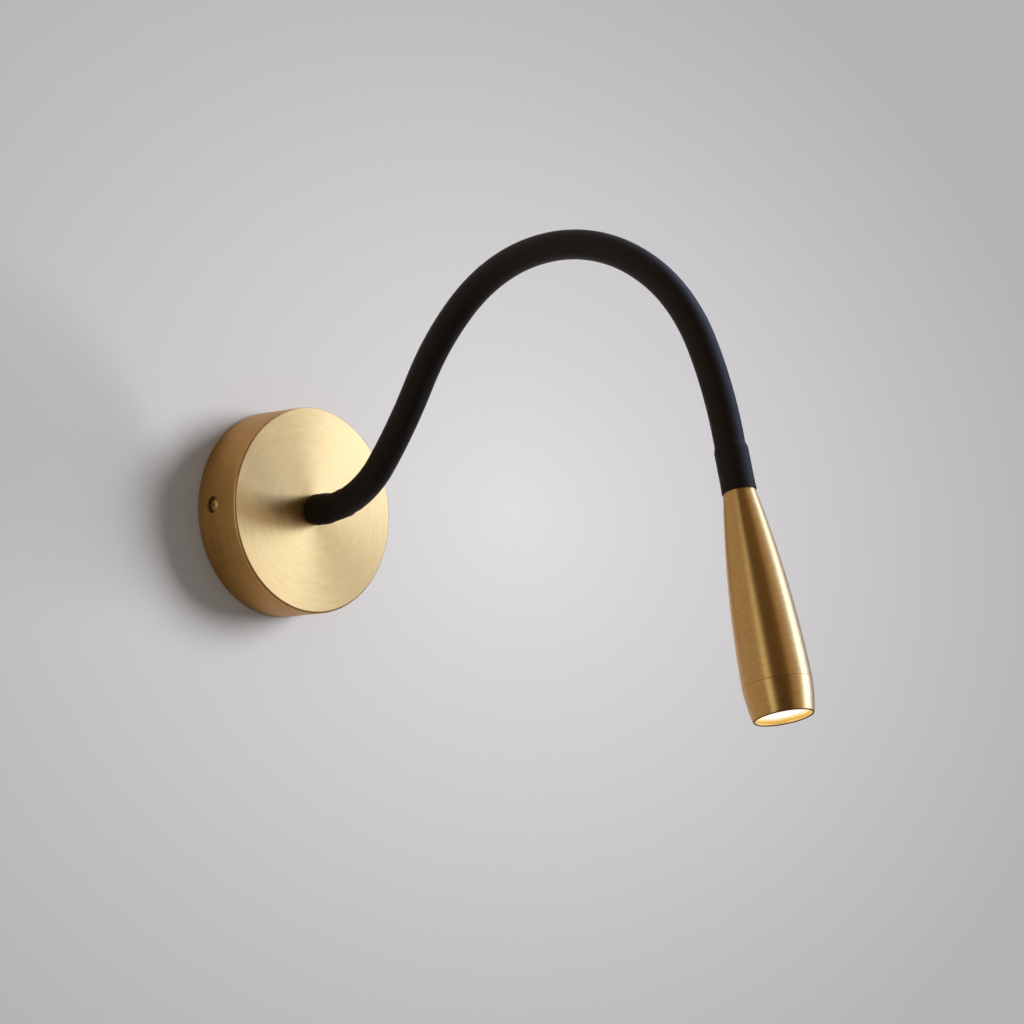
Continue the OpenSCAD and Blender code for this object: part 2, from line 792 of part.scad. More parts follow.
module sleeve_foot() {
    stub_end = canopy_depth + stub_len;
    rotate_extrude() difference() {
        union() {
            translate([0, canopy_depth]) square([cuff_outer_r - foot_r, stub_len]);
            translate([cuff_outer_r - foot_r, canopy_depth + foot_r]) circle(foot_r);
            translate([0, canopy_depth + foot_r])
                square([cuff_outer_r, stub_len - foot_r - cuff_taper]);
            polygon([
                [0, stub_end - cuff_taper], [cuff_outer_r, stub_end - cuff_taper],
                [sleeve_outer_r, stub_end], [0, stub_end]
            ]);
        }
        square([nipple_d / 2 + thread_fit * 2, stub_end + 1]);
        polygon([
            [0, ferrule_out], [cuff_inner_r, ferrule_out],
            [cuff_inner_r, stub_end - cuff_taper], [sleeve_inner_r, stub_end], [0, stub_end]
        ]);
    }
}

module sleeve_cuff() {
    cuff_start = tail_len - lamp_ferrule_len - cuff_taper;
    wide_from = cuff_start + cuff_taper;
    along_arm(stretches) rotate_extrude() polygon([
        [sleeve_inner_r, collar_cut], [sleeve_outer_r, collar_cut],
        [sleeve_outer_r, cuff_start],
        [cuff_outer_r, wide_from], [cuff_outer_r, tail_len], [cuff_inner_r, tail_len],
        [cuff_inner_r, wide_from - seat_fit], [sleeve_inner_r, cuff_start - seat_fit]
    ]);
}

// Solid length b of the core, between two bending points
module arm_core(b) {
    half = stretch_len / 2;
    gap = core_break / 2;
    color(dark_steel) out_of_wall() {
        if (b == 0)
            translate([0, 0, ferrule_out + ferrule_floor])
                tube(core_r, core_bore / 2, stub_len - foot_t - ferrule_floor);
        if (b > 0) {
            stretch_part(b - 1, half + gap, stretch_len - collar_cut)
                ring(core_r, core_bore / 2);
            collar(b) ring(core_r + collar_t, core_bore / 2 - collar_t);
        }
        if (b < stretches)
            stretch_part(b, b > 0 ? collar_cut : 0, half - gap) ring(core_r, core_bore / 2);
        if (b == stretches)
            along_arm(stretches) translate([0, 0, collar_cut])
                tube(core_r, core_bore / 2,
                     tail_len - lamp_ferrule_len + core_grip - collar_cut);
    }
}

// The two lamp leads inside stretch k
module arm_leads(k) {
    last = k == stretches - 1;
    color(silicone) out_of_wall() {
        stretch_part(k, 0, stretch_len - (last ? collar_cut : 0)) lead_pair(lead_d);
        if (k == 0)
            translate([0, 0, nipple_end]) linear_extrude(canopy_depth + stub_len - nipple_end)
                rotate(90) lead_pair(lead_d);
        if (last) {
            collar(stretches) rotate(90) lead_pair(lead_d + collar_t * 2);
            along_arm(stretches) translate([0, 0, collar_cut])
                linear_extrude(tail_len + spigot_len - collar_cut) rotate(90) lead_pair(lead_d);
        }
    }
}

module lead_pair(d) {
    for (side = [-1, 1]) translate([0, side * lead_pitch / 2]) circle(d = d, $fn = 16);
}

// Ferrule on the lamp end of the core, with the thread that holds the lamp head
module lamp_ferrule() {
    color(steel) out_of_wall() along_arm(stretches)
        translate([0, 0, tail_len - lamp_ferrule_len]) rotate_extrude() difference() {
            union() {
                square([ferrule_r, lamp_ferrule_len]);
                square([spigot_d / 2, lamp_ferrule_len + spigot_len]);
            }
            square([core_bore / 2, lamp_ferrule_len + spigot_len]);
            square([core_r + seat_fit, core_grip]);
        }
}

// Places a part in the lamp head: Z runs from the head's top to its mouth
module in_head(s = 0) {
    out_of_wall() along_arm(stretches) translate([0, 0, tail_len + s]) children();
}

// Points along an arc from one point up to another that bulges outwards by this much
function turned_arc(from, to, bulge) =
    let (
        chord = to - from,
        along = unit(chord),
        outward = [along[1], -along[0]],
        r = (chord * chord / 4 + bulge * bulge) / (2 * bulge),
        half = asin(norm(chord) / (2 * r)),
        centre = (from + to) / 2 - outward * (r - bulge)
    )
    [
        for (i = [0:curve_steps])
            let (turn = half * (2 * i / curve_steps - 1))
            centre + r * (outward * cos(turn) + along * sin(turn))
    ];

// Turned brass head with its stepped bore
module head_body() {
    color(brass) in_head() rotate_extrude() difference() {
        polygon(concat(
            [[0, 0]],
            turned_arc([head_top_d / 2, 0], [head_max_r, head_len], head_bulge),
            [[0, head_len]]
        ));
        square([spigot_d / 2 + thread_fit, socket_depth]);
        translate([0, socket_depth])
            square([narrow_bore_d / 2, narrow_bore_end - socket_depth]);
        translate([0, narrow_bore_end]) square([wide_bore_d / 2, sink_back - narrow_bore_end]);
        translate([0, sink_back]) square([sink_d / 2 + seat_fit, head_len]);
        translate([0, head_len - thread_len])
            square([nose_thread_r + thread_fit, thread_len + 1]);
        polygon([
            [head_max_r - seam, head_len], [head_max_r + seam, head_len - seam * 2],
            [head_max_r + seam, head_len]
        ]);
    }
}

// Nose ring, screwed into the head, whose lip holds the lens
module nose_ring() {
    lip_r = optic_r - lens_lip;
    color(brass) in_head() rotate_extrude() difference() {
        union() {
            polygon(concat(
                [[0, head_len]],
                turned_arc([head_max_r, head_len], [mouth_d / 2, head_total], nose_bulge),
                [[0, head_total]]
            ));
            translate([0, head_len - thread_len + 0.2]) square([nose_thread_r, thread_len]);
        }
        square([optic_r + seat_fit, lens_front]);
        translate([0, lens_front]) square([lip_r, lens_lip_t]);
        polygon([
            [0, lens_front + lens_lip_t], [lip_r, lens_front + lens_lip_t],
            [mouth_d / 2 - mouth_lip, head_total], [0, head_total]
        ]);
    }
}

// Aluminium heat sink behind the light source
module heat_sink() {
    color(aluminium) in_head(sink_back) difference() {
        cylinder(h = sink_len, d = sink_d);
        translate([0, pad_offset, -1]) cylinder(h = sink_len + 2, d = pad_pitch + lead_d + 1);
    }
}

module led_board() {
    color(white_plastic) in_head(led_board_back) difference() {
        cylinder(h = board_t, d = optic_d - 0.6);
        for (x = [-1, 1] * pad_pitch / 2) translate([x, pad_offset, -1])
            cylinder(h = board_t + 2, d = lead_d + seat_fit * 2, $fn = 24);
    }
}

module led() {
    color("#F6D77A") in_head(led_board_front) {
        translate([-led_w / 2, -led_w / 2, 0]) cube([led_w, led_w, led_h]);
        intersection() {
            translate([0, 0, led_h]) sphere(led_dome_r);
            cylinder(h = led_h + led_dome_r, r = led_dome_r);
        }
    }
}

module solder_joints() {
    color(steel) in_head(led_board_front) for (x = [-1, 1] * pad_pitch / 2)
        translate([x, pad_offset, 0]) intersection() {
            sphere(d = lead_d + 1, $fn = 24);
            cylinder(h = lead_d, d = lead_d + 1, $fn = 24);
        }
}

module head_leads() {
    color(silicone) in_head() for (side = [-1, 1])
        wire([
            [side * lead_pitch / 2, 0, spigot_len],
            [side * lead_pitch / 2, 0, narrow_bore_end + 1],
            [side * pad_pitch / 2, pad_offset, sink_back - 4],
            [side * pad_pitch / 2, pad_offset, led_board_front]
        ], lead_d, side = [1, 0, 0]);
}

module lens_holder() {
    color(white_plastic) in_head(led_board_front) difference() {
        cylinder(h = holder_len, r = optic_r);
        translate([0, 0, holder_floor]) cylinder(h = holder_len, r = optic_r - holder_wall);
        translate([0, 0, -1]) cylinder(h = holder_floor + 2, d = lens_small_d - 0.8);
        translate([0, pad_offset, -1])
            cylinder(h = holder_floor + 2, d = pad_pitch + lead_d + 2);
    }
}

// Moulded lens: a cone with a pocket over the LED and a flange at the front
module lens() {
    rear = led_board_front + holder_floor;
    large_r = optic_r - holder_wall - 0.3;
    color(clear_lens, 0.6) in_head() rotate_extrude() difference() {
        union() {
            polygon([
                [0, rear], [lens_small_d / 2, rear], [large_r, holder_front - 1],
                [large_r, holder_front], [0, holder_front]
            ]);
            translate([0, holder_front]) square([optic_r, lens_flange]);
        }
        translate([0, rear]) square([pocket_r, pocket_depth]);
    }
}

canopy();
wall_bracket();
side_screws();
earth_screw();
earth_lead();
earth_ring();
driver_case();
driver_lid();
driver_board();
driver_transformer();
driver_capacitors();
driver_tape();
terminal_block();
terminal_clamps();
terminal_screws();
terminal_tape();
mains_leads();
output_leads();
arm_nut();
toothed_washer();
base_ferrule();
for (k = [0:stretches - 1])
    arm_sleeve(k);
for (b = [0:stretches])
    arm_core(b);
for (k = [0:stretches - 1])
    arm_leads(k);
lamp_ferrule();
head_body();
nose_ring();
heat_sink();
led_board();
led();
solder_joints();
head_leads();
lens_holder();
lens();
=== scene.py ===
# %% [markdown]
# # A wall light with a bending arm
# This lesson dresses the solids of a wall light for its picture: a round brass
# canopy on the wall, an arm in a black silicone sleeve that bends and stays, and
# a turned brass head with a small lamp in its mouth. The solids hold the sizes and
# the joints. Here each visible piece gets its finish, and the pieces with soft or
# long curves are made again with smooth surfaces.

# %% Load the solids
import json
import math

import bpy
from mathutils import Matrix, Vector


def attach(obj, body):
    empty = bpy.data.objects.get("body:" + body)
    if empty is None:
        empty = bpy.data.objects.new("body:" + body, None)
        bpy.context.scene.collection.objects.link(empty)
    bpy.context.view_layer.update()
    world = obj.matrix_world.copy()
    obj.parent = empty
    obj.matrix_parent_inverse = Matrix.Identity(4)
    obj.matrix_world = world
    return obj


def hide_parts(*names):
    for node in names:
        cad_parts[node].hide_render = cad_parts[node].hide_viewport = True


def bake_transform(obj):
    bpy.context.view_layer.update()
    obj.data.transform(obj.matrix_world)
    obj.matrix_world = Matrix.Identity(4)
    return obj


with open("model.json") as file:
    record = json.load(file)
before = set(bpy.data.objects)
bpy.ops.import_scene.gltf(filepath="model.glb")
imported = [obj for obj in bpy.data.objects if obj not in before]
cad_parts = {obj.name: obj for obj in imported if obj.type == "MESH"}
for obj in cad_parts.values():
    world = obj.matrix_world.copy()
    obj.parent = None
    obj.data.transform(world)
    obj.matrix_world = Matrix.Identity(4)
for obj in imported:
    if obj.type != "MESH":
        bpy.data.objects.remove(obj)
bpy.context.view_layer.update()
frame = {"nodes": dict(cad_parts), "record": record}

# %% [markdown]
# ## Lengths along the light
# The sizes are those of the solids, in millimetres. Blender works in metres, so
# every length is multiplied by MM on its way into a mesh. The lengths along the
# light come first, because every piece has its place on them. The other sizes
# stand with the pieces that they belong to.

# %% Lengths along the light
MM = 0.001
CANOPY_DEPTH = 24.0
STUB = 8.0
STRETCH = 40.0
TAIL = 24.0
# How far each stretch of the arm bends upwards, in degrees
BENDS = (49, 10, -20, -28, -24, -24, -27, -12)
HOSE = STUB + STRETCH * len(BENDS) + TAIL
HEAD_LEN = 78.0
NOSE_LEN = 13.5
HEAD_END = HEAD_LEN + NOSE_LEN
MOUTH = HOSE + HEAD_END
print("hose", HOSE, "mm, head", HEAD_END, "mm")

# %% [markdown]
# ## The camera
# The photograph is taken with a long lens from the left of the light and a little
# below it. The camera below has the place, the direction and the lens that a fit
# of the canopy's rim, the arm and the mouth gave.

# %% The camera
PICTURE_PX = 1024
FOCAL_PX = 3896.3
SENSOR_MM = 36
AZIMUTH = math.radians(-44.524)
ELEVATION = math.radians(-6.6)
DISTANCE = 1710.9 * MM
# Where the canopy's centre lands in the picture, in pixels
CENTRE_PX = (277.3, 514.7)

towards = Vector((
    math.sin(AZIMUTH) * math.cos(ELEVATION),
    -math.cos(AZIMUTH) * math.cos(ELEVATION),
    math.sin(ELEVATION),
))
right = Vector((math.cos(AZIMUTH), math.sin(AZIMUTH), 0))
up = towards.cross(right)
# Size of a pixel at the canopy
px = DISTANCE / FOCAL_PX


def new_object(name, data):
    """Puts an object in the scene."""
    made = bpy.data.objects.new(name, data)
    bpy.context.scene.collection.objects.link(made)
    return made


camera_data = bpy.data.cameras.new("camera")
camera_data.sensor_width = SENSOR_MM
camera_data.lens = SENSOR_MM * FOCAL_PX / PICTURE_PX
camera_data.clip_start = 0.05
camera_data.clip_end = 20
camera = new_object("camera", camera_data)
camera.location = (
    towards * DISTANCE
    - right * (CENTRE_PX[0] - PICTURE_PX / 2) * px
    + up * (CENTRE_PX[1] - PICTURE_PX / 2) * px
)
camera.rotation_euler = Matrix((right, up, towards)).transposed().to_euler()
bpy.context.scene.camera = camera
bpy.context.scene.view_settings.view_transform = "Standard"
print("camera at", [round(c, 3) for c in camera.location])

# %% [markdown]
# ## The arm's centre line
# The arm lies in the plane X = 0. It leaves the canopy straight, runs through
# eight arcs of 40 mm and ends straight in the head. One function gives the point
# at any distance from the canopy's face. A negative distance lies inside the
# canopy, and distances past the hose lie in the head, so that the same line
# carries every turned piece of the light.

# %% The arm's centre line
def arm_at(s):
    """Point, direction and upper side of the centre line, s mm from the canopy's face."""
    y, z, angle, left = -CANOPY_DEPTH, 0.0, 0.0, s
    for length, bend in [(STUB, 0)] + [(STRETCH, bend) for bend in BENDS]:
        step = min(left, length)
        turn = math.radians(bend) * step / length
        # The chord of an arc points half way between its two ends' directions
        chord = step * (math.sin(turn / 2) / (turn / 2) if turn else 1)
        y -= chord * math.cos(angle + turn / 2)
        z += chord * math.sin(angle + turn / 2)
        angle += turn
        left -= step
        if left <= 0:
            break
    if left > 0:
        y -= left * math.cos(angle)
        z += left * math.sin(angle)
    along = Vector((0, -math.cos(angle), math.sin(angle)))
    upper = Vector((0, math.sin(angle), math.cos(angle)))
    return Vector((0, y, z)) * MM, along, upper


head_top, head_axis = arm_at(HOSE)[:2]
mouth_middle = arm_at(MOUTH)[0]
print("head from", [round(c, 4) for c in head_top], "to", [round(c, 4) for c in mouth_middle])

# %% [markdown]
# ## Outlines
# Canopy, sleeve, head, nose ring and lens are all bodies of revolution. Each is
# drawn as a closed outline of points (distance along the arm, radius). A rounded
# corner is an arc. The sides of the head and the nose ring bulge a little past a
# straight taper, so a second function draws a shallow arc from its two ends and
# its bulge, which are what one can measure on the real thing.

# %% Outlines
def arc_points(centre, r, start, end, steps):
    """Points on an arc, (along, radius), with angles in degrees from the direction of the arm."""
    turns = [math.radians(start + (end - start) * i / steps) for i in range(steps + 1)]
    return [(centre[0] + r * math.cos(t), centre[1] + r * math.sin(t)) for t in turns]


def bulging(a, b, bulge, steps):
    """Points from a to b along a shallow arc that stands this far outside the straight line."""
    length = math.hypot(b[0] - a[0], b[1] - a[1])
    r = (length * length / 4 + bulge * bulge) / (2 * bulge)
    half = math.asin(length / (2 * r))
    along = ((b[0] - a[0]) / length, (b[1] - a[1]) / length)
    out = (-along[1], along[0])
    middle = ((a[0] + b[0]) / 2 - out[0] * (r - bulge), (a[1] + b[1]) / 2 - out[1] * (r - bulge))
    points = []
    for i in range(steps + 1):
        t = half * (2 * i / steps - 1)
        points.append((
            middle[0] + r * (out[0] * math.cos(t) + along[0] * math.sin(t)),
            middle[1] + r * (out[1] * math.cos(t) + along[1] * math.sin(t)),
        ))
    return points


corner = arc_points((0, 0), 1, start=90, end=0, steps=2)
print("a round corner in three points:", [(round(s, 2), round(r, 2)) for s, r in corner])

# %% [markdown]
# ## Turning
# An outline is turned round the centre line ring by ring, so a piece may follow
# the bend of the arm, which a Screw modifier can't do. The outline is closed, so
# each piece is a closed shell with no seam.

# %% Rings and faces
RIGHT = Vector((1, 0, 0))


def turned_rings(outline, around):
    """Vertices of an outline turned round the arm, and the ring that each of its points makes."""
    verts, rings = [], []
    for s, r in outline:
        centre, along, upper = arm_at(s)
        # A point on the axis is a single vertex, the pole
        spokes = around if r > 0 else 1
        rings.append([len(verts) + a % spokes for a in range(around)])
        for a in range(spokes):
            t = 2 * math.pi * a / around
            verts.append(centre + (RIGHT * math.cos(t) + upper * math.sin(t)) * r * MM)
    return verts, rings


def faces_between(rings):
    """Faces from each ring to the next, and from the last back to the first."""
    faces = []
    around = len(rings[0])
    for ring, after in zip(rings, rings[1:] + rings[:1]):
        for a in range(around):
            b = (a + 1) % around
            # Beside a pole two corners are the same one, which leaves a triangle
            corners = tuple(dict.fromkeys((ring[a], ring[b], after[b], after[a])))
            if len(corners) > 2:
                faces.append(corners)
    return faces


print("faces round two rings of four points:", len(faces_between([[0, 1, 2, 3], [4, 5, 6, 7]])))

# %% [markdown]
# ### A turned piece
# The rings and faces become a mesh, and the mesh becomes a piece with its finish.
# Each stretch of the outline makes one band of faces, which can be given a finish
# of its own by counting. Each piece also gets a UV map in millimetres, for a grain
# that has to bend with it.

# %% A turned piece
AROUND = 96


def place_mesh(name, mesh, finish):
    """Puts a mesh in the scene as a piece with one finish."""
    piece = new_object(name, mesh)
    mesh.materials.append(finish)
    return piece


def map_in_mm(mesh, outline, around):
    """A UV map in millimetres: around the piece at its widest place, and along the outline."""
    lengths = [0.0]
    for p, q in zip(outline, outline[1:] + outline[:1]):
        lengths.append(lengths[-1] + math.hypot(q[0] - p[0], q[1] - p[1]))
    around_mm = 2 * math.pi * max(r for s, r in outline)
    uv_map = mesh.uv_layers.new(name="along_and_around")
    for f, face in enumerate(mesh.polygons):
        i, a = divmod(f, around)
        corners = ((a, i), (a + 1, i), (a + 1, i + 1), (a, i + 1))
        for loop, (u, v) in zip(face.loop_indices, corners):
            uv_map.data[loop].uv = (u / around * around_mm, lengths[v])


def turned(name, outline, finish, start=0.0, around=AROUND, sharp=30):
    """A closed piece, start mm along. Its outline goes out and forwards first, then back inside."""
    outline = [(start + s, r) for s, r in outline]
    verts, rings = turned_rings(outline, around)
    mesh = bpy.data.meshes.new(name)
    mesh.from_pydata(verts, [], faces_between(rings))
    mesh.update()
    map_in_mm(mesh, outline, around)
    mesh.set_sharp_from_angle(angle=math.radians(sharp))
    return place_mesh(name, mesh, finish)


def dress_bands(piece, first, end, around, finish):
    """Gives the bands of faces from first up to end a finish of their own."""
    piece.data.materials.append(finish)
    for face in piece.data.polygons[first * around:end * around]:
        face.material_index = len(piece.data.materials) - 1


sag = 1 - math.cos(math.pi / AROUND)
print("a ring of", AROUND, "steps departs from its circle by", round(100 * sag, 3), "% of its radius")

# %% [markdown]
# ## Finishes
# Every finish is a procedural material. A few small helpers serve all of them:
# one turns a hex colour, as a designer writes it, into Blender's linear values,
# one adds a node, sets its inputs and links it, and two begin and end a material.

# %% Helpers for finishes
def linear(hex_colour):
    """sRGB hex to linear red, green, blue and alpha."""
    parts = [int(hex_colour[i:i + 2], 16) / 255 for i in (1, 3, 5)]
    return [c / 12.92 if c <= 0.04045 else ((c + 0.055) / 1.055) ** 2.4 for c in parts] + [1.0]


def add(tree, kind, inputs=None, **settings):
    """Adds a node. An input takes a number, a colour, or another node's output to link."""
    made = tree.nodes.new(kind)
    for name, value in settings.items():
        setattr(made, name, value)
    for name, value in (inputs or {}).items():
        socket = made.inputs[name]
        if isinstance(value, bpy.types.NodeSocket):
            tree.links.new(value, socket)
        else:
            socket.default_value = value
    return made


def new_material(name):
    """A material with an empty node tree."""
    material = bpy.data.materials.new(name)
    material.use_nodes = True
    material.node_tree.nodes.clear()
    return material, material.node_tree


def close_material(tree, shader):
    """Links the last shader to the material's output."""
    add(tree, "ShaderNodeOutputMaterial", {"Surface": shader.outputs[0]})


print("mid grey in linear light:", round(linear("#808080")[0], 3))

# %% [markdown]
# ### Depth along an axis, and distance from it
# The patterns of turned things go round their axis. Object coordinates give each
# spot its place, and a few vector nodes work out from it how deep the spot lies
# along the axis, and how far out.

# %% Depth along an axis, and distance from it
def depth_along(tree, point, axis):
    """For each spot of a piece: its way from a point, and its depth along an axis."""
    place = add(tree, "ShaderNodeTexCoord")
    offset = add(tree, "ShaderNodeVectorMath", {0: place.outputs["Object"], 1: point},
                 operation="SUBTRACT")
    deep = add(tree, "ShaderNodeVectorMath", {0: offset.outputs[0], 1: axis},
               operation="DOT_PRODUCT")
    return offset.outputs[0], deep.outputs["Value"]


def out_from(tree, offset, deep, axis):
    """For each spot of a piece: its way out from an axis, and how far out it is."""
    on_axis = add(tree, "ShaderNodeVectorMath", {0: axis, "Scale": deep}, operation="SCALE")
    radial = add(tree, "ShaderNodeVectorMath", {0: offset, 1: on_axis.outputs[0]},
                 operation="SUBTRACT")
    reach = add(tree, "ShaderNodeVectorMath", {0: radial.outputs[0]}, operation="LENGTH")
    return radial.outputs[0], reach.outputs["Value"]


print("the head's axis:", tuple(round(c, 3) for c in head_axis))

# %% [markdown]
# ### Satin brass
# The canopy, the head and the nose ring are turned on a lathe from brass and
# rubbed with fine abrasive while they spin. The rubbing leaves circular marks, the
# finest about 0.1 mm apart, which stretch each highlight across them: on the flat
# face that gives the fan of light, on the head the long streaks. An image of
# scratches could do it too, but would have to be wrapped round each piece. Here
# the marks come from the turning axis, on Object coordinates, because the head
# hangs at an angle. The canopy's side gets a darker copy of the brass, which is
# painted shade for the shadowed wall that the side mirrors.

# %% The marks of the lathe
# The finest marks are thinner than a pixel of the picture, so coarser ones are drawn with them,
# in layers that each halve the distance between the marks. The coarsest are so many mm apart
FINER_LAYERS = 4.0
CANOPY_MARKS = 1.6
HEAD_MARKS = 1.0
MOUTH_MARKS = 0.8


def lathe_marks(tree, point, axis, spacing, streaks):
    """The direction of the marks, and a noise that varies quickly across them and slowly along."""
    offset, deep = depth_along(tree, point, axis)
    radial, reach = out_from(tree, offset, deep, axis)
    turning = add(tree, "ShaderNodeVectorMath", {0: axis, 1: radial}, operation="CROSS_PRODUCT")
    tangent = add(tree, "ShaderNodeVectorMath", {0: turning.outputs[0]}, operation="NORMALIZE")
    # Distance along the outline: across a face it is the radius, along a side the depth
    across = add(tree, "ShaderNodeMath", {0: reach, 1: deep}, operation="ADD")
    counted = add(tree, "ShaderNodeMath", {0: across.outputs[0], 1: 1 / (spacing * MM)},
                  operation="MULTIPLY")
    outwards = add(tree, "ShaderNodeVectorMath", {0: radial}, operation="NORMALIZE")
    slow = add(tree, "ShaderNodeVectorMath", {0: outwards.outputs[0], "Scale": streaks},
               operation="SCALE")
    quick = add(tree, "ShaderNodeVectorMath", {0: axis, "Scale": counted.outputs[0]},
                operation="SCALE")
    where = add(tree, "ShaderNodeVectorMath", {0: slow.outputs[0], 1: quick.outputs[0]},
                operation="ADD")
    marks = add(tree, "ShaderNodeTexNoise", {
        "Vector": where.outputs[0], "Scale": 1.0, "Detail": FINER_LAYERS, "Roughness": 0.7})
    return tangent.outputs[0], marks.outputs["Fac"]


print("finest marks on the canopy:", CANOPY_MARKS / 2 ** FINER_LAYERS, "mm apart")

# %% Satin brass
BRASS_ROUGHNESS = 0.41
MARKS_GLOSS = 0.03
# Spreads a highlight 2.8 times as far across the marks as along them
BRASS_ANISOTROPY = 0.714
# Blender spreads it along the tangent, which runs with the marks, so it is turned by a quarter
QUARTER_TURN = 0.25
# Range of the noise that takes up the whole change of colour and gloss
MARKS_LOW, MARKS_HIGH = 0.3, 0.7


def satin_brass(name, point, axis, spacing, streaks, light="#DAAA67", dark="#CB9956"):
    """Warm yellow metal, soft like silk, with long highlights across its turning marks."""
    material, tree = new_material(name)
    tangent, marks = lathe_marks(tree, point, axis, spacing, streaks)
    clear = add(tree, "ShaderNodeMapRange", {
        "Value": marks, "From Min": MARKS_LOW, "From Max": MARKS_HIGH})
    tint = add(tree, "ShaderNodeMix", {
        "Factor": clear.outputs["Result"], "A": linear(dark), "B": linear(light)},
        data_type="RGBA")
    rough = add(tree, "ShaderNodeMapRange", {
        "Value": clear.outputs["Result"],
        "To Min": BRASS_ROUGHNESS - MARKS_GLOSS, "To Max": BRASS_ROUGHNESS + MARKS_GLOSS})
    bump = add(tree, "ShaderNodeBump", {"Height": marks, "Strength": 0.15, "Distance": 0.02 * MM})
    shader = add(tree, "ShaderNodeBsdfPrincipled", {
        "Base Color": tint.outputs["Result"], "Metallic": 1.0,
        "Roughness": rough.outputs["Result"], "Anisotropic": BRASS_ANISOTROPY,
        "Anisotropic Rotation": QUARTER_TURN, "Tangent": tangent,
        "Normal": bump.outputs["Normal"],
    })
    close_material(tree, shader)
    return material


wall_point = Vector((0, 0, 0))
out_of_wall = Vector((0, -1, 0))
canopy_brass = satin_brass(
    "satin_brass_canopy", wall_point, out_of_wall, CANOPY_MARKS, streaks=3.5)
# A darker copy of the brass for the canopy's side: painted shade, for the shadowed wall that it
# mirrors
side_brass_painted_shade = satin_brass(
    "satin_brass_side_painted_shade", wall_point, out_of_wall, CANOPY_MARKS, streaks=3.5,
    light="#CC9C5C", dark="#BC8A48")
head_brass = satin_brass("satin_brass_head", head_top, head_axis, HEAD_MARKS, streaks=3.0)
print("satin brass for the canopy's face, its side and the head")

# %% [markdown]
# ### Black silicone
# The sleeve is an extruded silicone tube, matt and nearly black. A very fine
# orange-peel keeps it from looking like paint, and the UV map, measured in
# millimetres along and around the hose, keeps that grain in place when the arm
# bends. The lamps that serve the brass are bluish, so the little gloss that the
# silicone has gets a warm tint, which leaves it neutral.

# %% Black silicone
# Size of the grain, drawn as coarse as a pixel so that it shows, and of the dusty patches, in mm
GRAIN = 0.4
DUST = 8.333


def black_silicone():
    """Near black, with a soft gloss that fades out instead of ending in a line."""
    material, tree = new_material("black_silicone")
    uv = add(tree, "ShaderNodeUVMap", uv_map="along_and_around")
    grain = add(tree, "ShaderNodeTexNoise", {
        "Vector": uv.outputs[0], "Scale": 1 / GRAIN, "Detail": 3.0})
    dust = add(tree, "ShaderNodeTexNoise", {
        "Vector": uv.outputs[0], "Scale": 1 / DUST, "Detail": 2.0})
    tint = add(tree, "ShaderNodeMix", {
        "Factor": dust.outputs["Fac"], "A": linear("#0D0D10"), "B": linear("#151519")},
        data_type="RGBA")
    bump = add(tree, "ShaderNodeBump", {
        "Height": grain.outputs["Fac"], "Strength": 0.2, "Distance": 0.05 * MM})
    shader = add(tree, "ShaderNodeBsdfPrincipled", {
        "Base Color": tint.outputs["Result"], "Roughness": 0.62, "IOR": 1.42,
        "Specular IOR Level": 0.35, "Specular Tint": linear("#FFD090"),
        "Sheen Weight": 0.04, "Sheen Roughness": 0.4, "Normal": bump.outputs["Normal"],
    })
    close_material(tree, shader)
    return material


silicone = black_silicone()
print("silicone with a grain of", GRAIN, "mm")

# %% [markdown]
# ### Plain finishes
# The hidden pieces have simple finishes: zinc-plated steel, bare aluminium,
# moulded plastics, circuit board and wire insulation. One function makes them. A
# soft cloudiness of a few millimetres in colour and gloss stands for the marks
# that handling leaves. The small bright brass parts are plain too, because their
# marks are too short to be seen.

# %% Plain finishes
CLOUD_SHADE = 0.86
CLOUD_GLOSS = 0.05


def plain(name, colour, roughness, metallic=0.0, cloud=3.0, ior=None):
    """An even finish with faint clouds, so many mm across, in its colour and its gloss."""
    material, tree = new_material(name)
    place = add(tree, "ShaderNodeTexCoord")
    clouds = add(tree, "ShaderNodeTexNoise", {
        "Vector": place.outputs["Object"], "Scale": 1 / (cloud * MM), "Detail": 2.0})
    base = linear(colour)
    darker = [c * CLOUD_SHADE for c in base[:3]] + [1.0]
    tint = add(tree, "ShaderNodeMix", {"Factor": clouds.outputs["Fac"], "A": darker, "B": base},
               data_type="RGBA")
    rough = add(tree, "ShaderNodeMapRange", {
        "Value": clouds.outputs["Fac"], "To Min": roughness - CLOUD_GLOSS,
        "To Max": roughness + CLOUD_GLOSS})
    bump = add(tree, "ShaderNodeBump", {
        "Height": clouds.outputs["Fac"], "Strength": 0.1, "Distance": 0.05 * MM})
    inputs = {
        "Base Color": tint.outputs["Result"], "Roughness": rough.outputs["Result"],
        "Metallic": metallic, "Normal": bump.outputs["Normal"],
    }
    if ior:
        inputs["IOR"] = ior
    close_material(tree, add(tree, "ShaderNodeBsdfPrincipled", inputs))
    return material


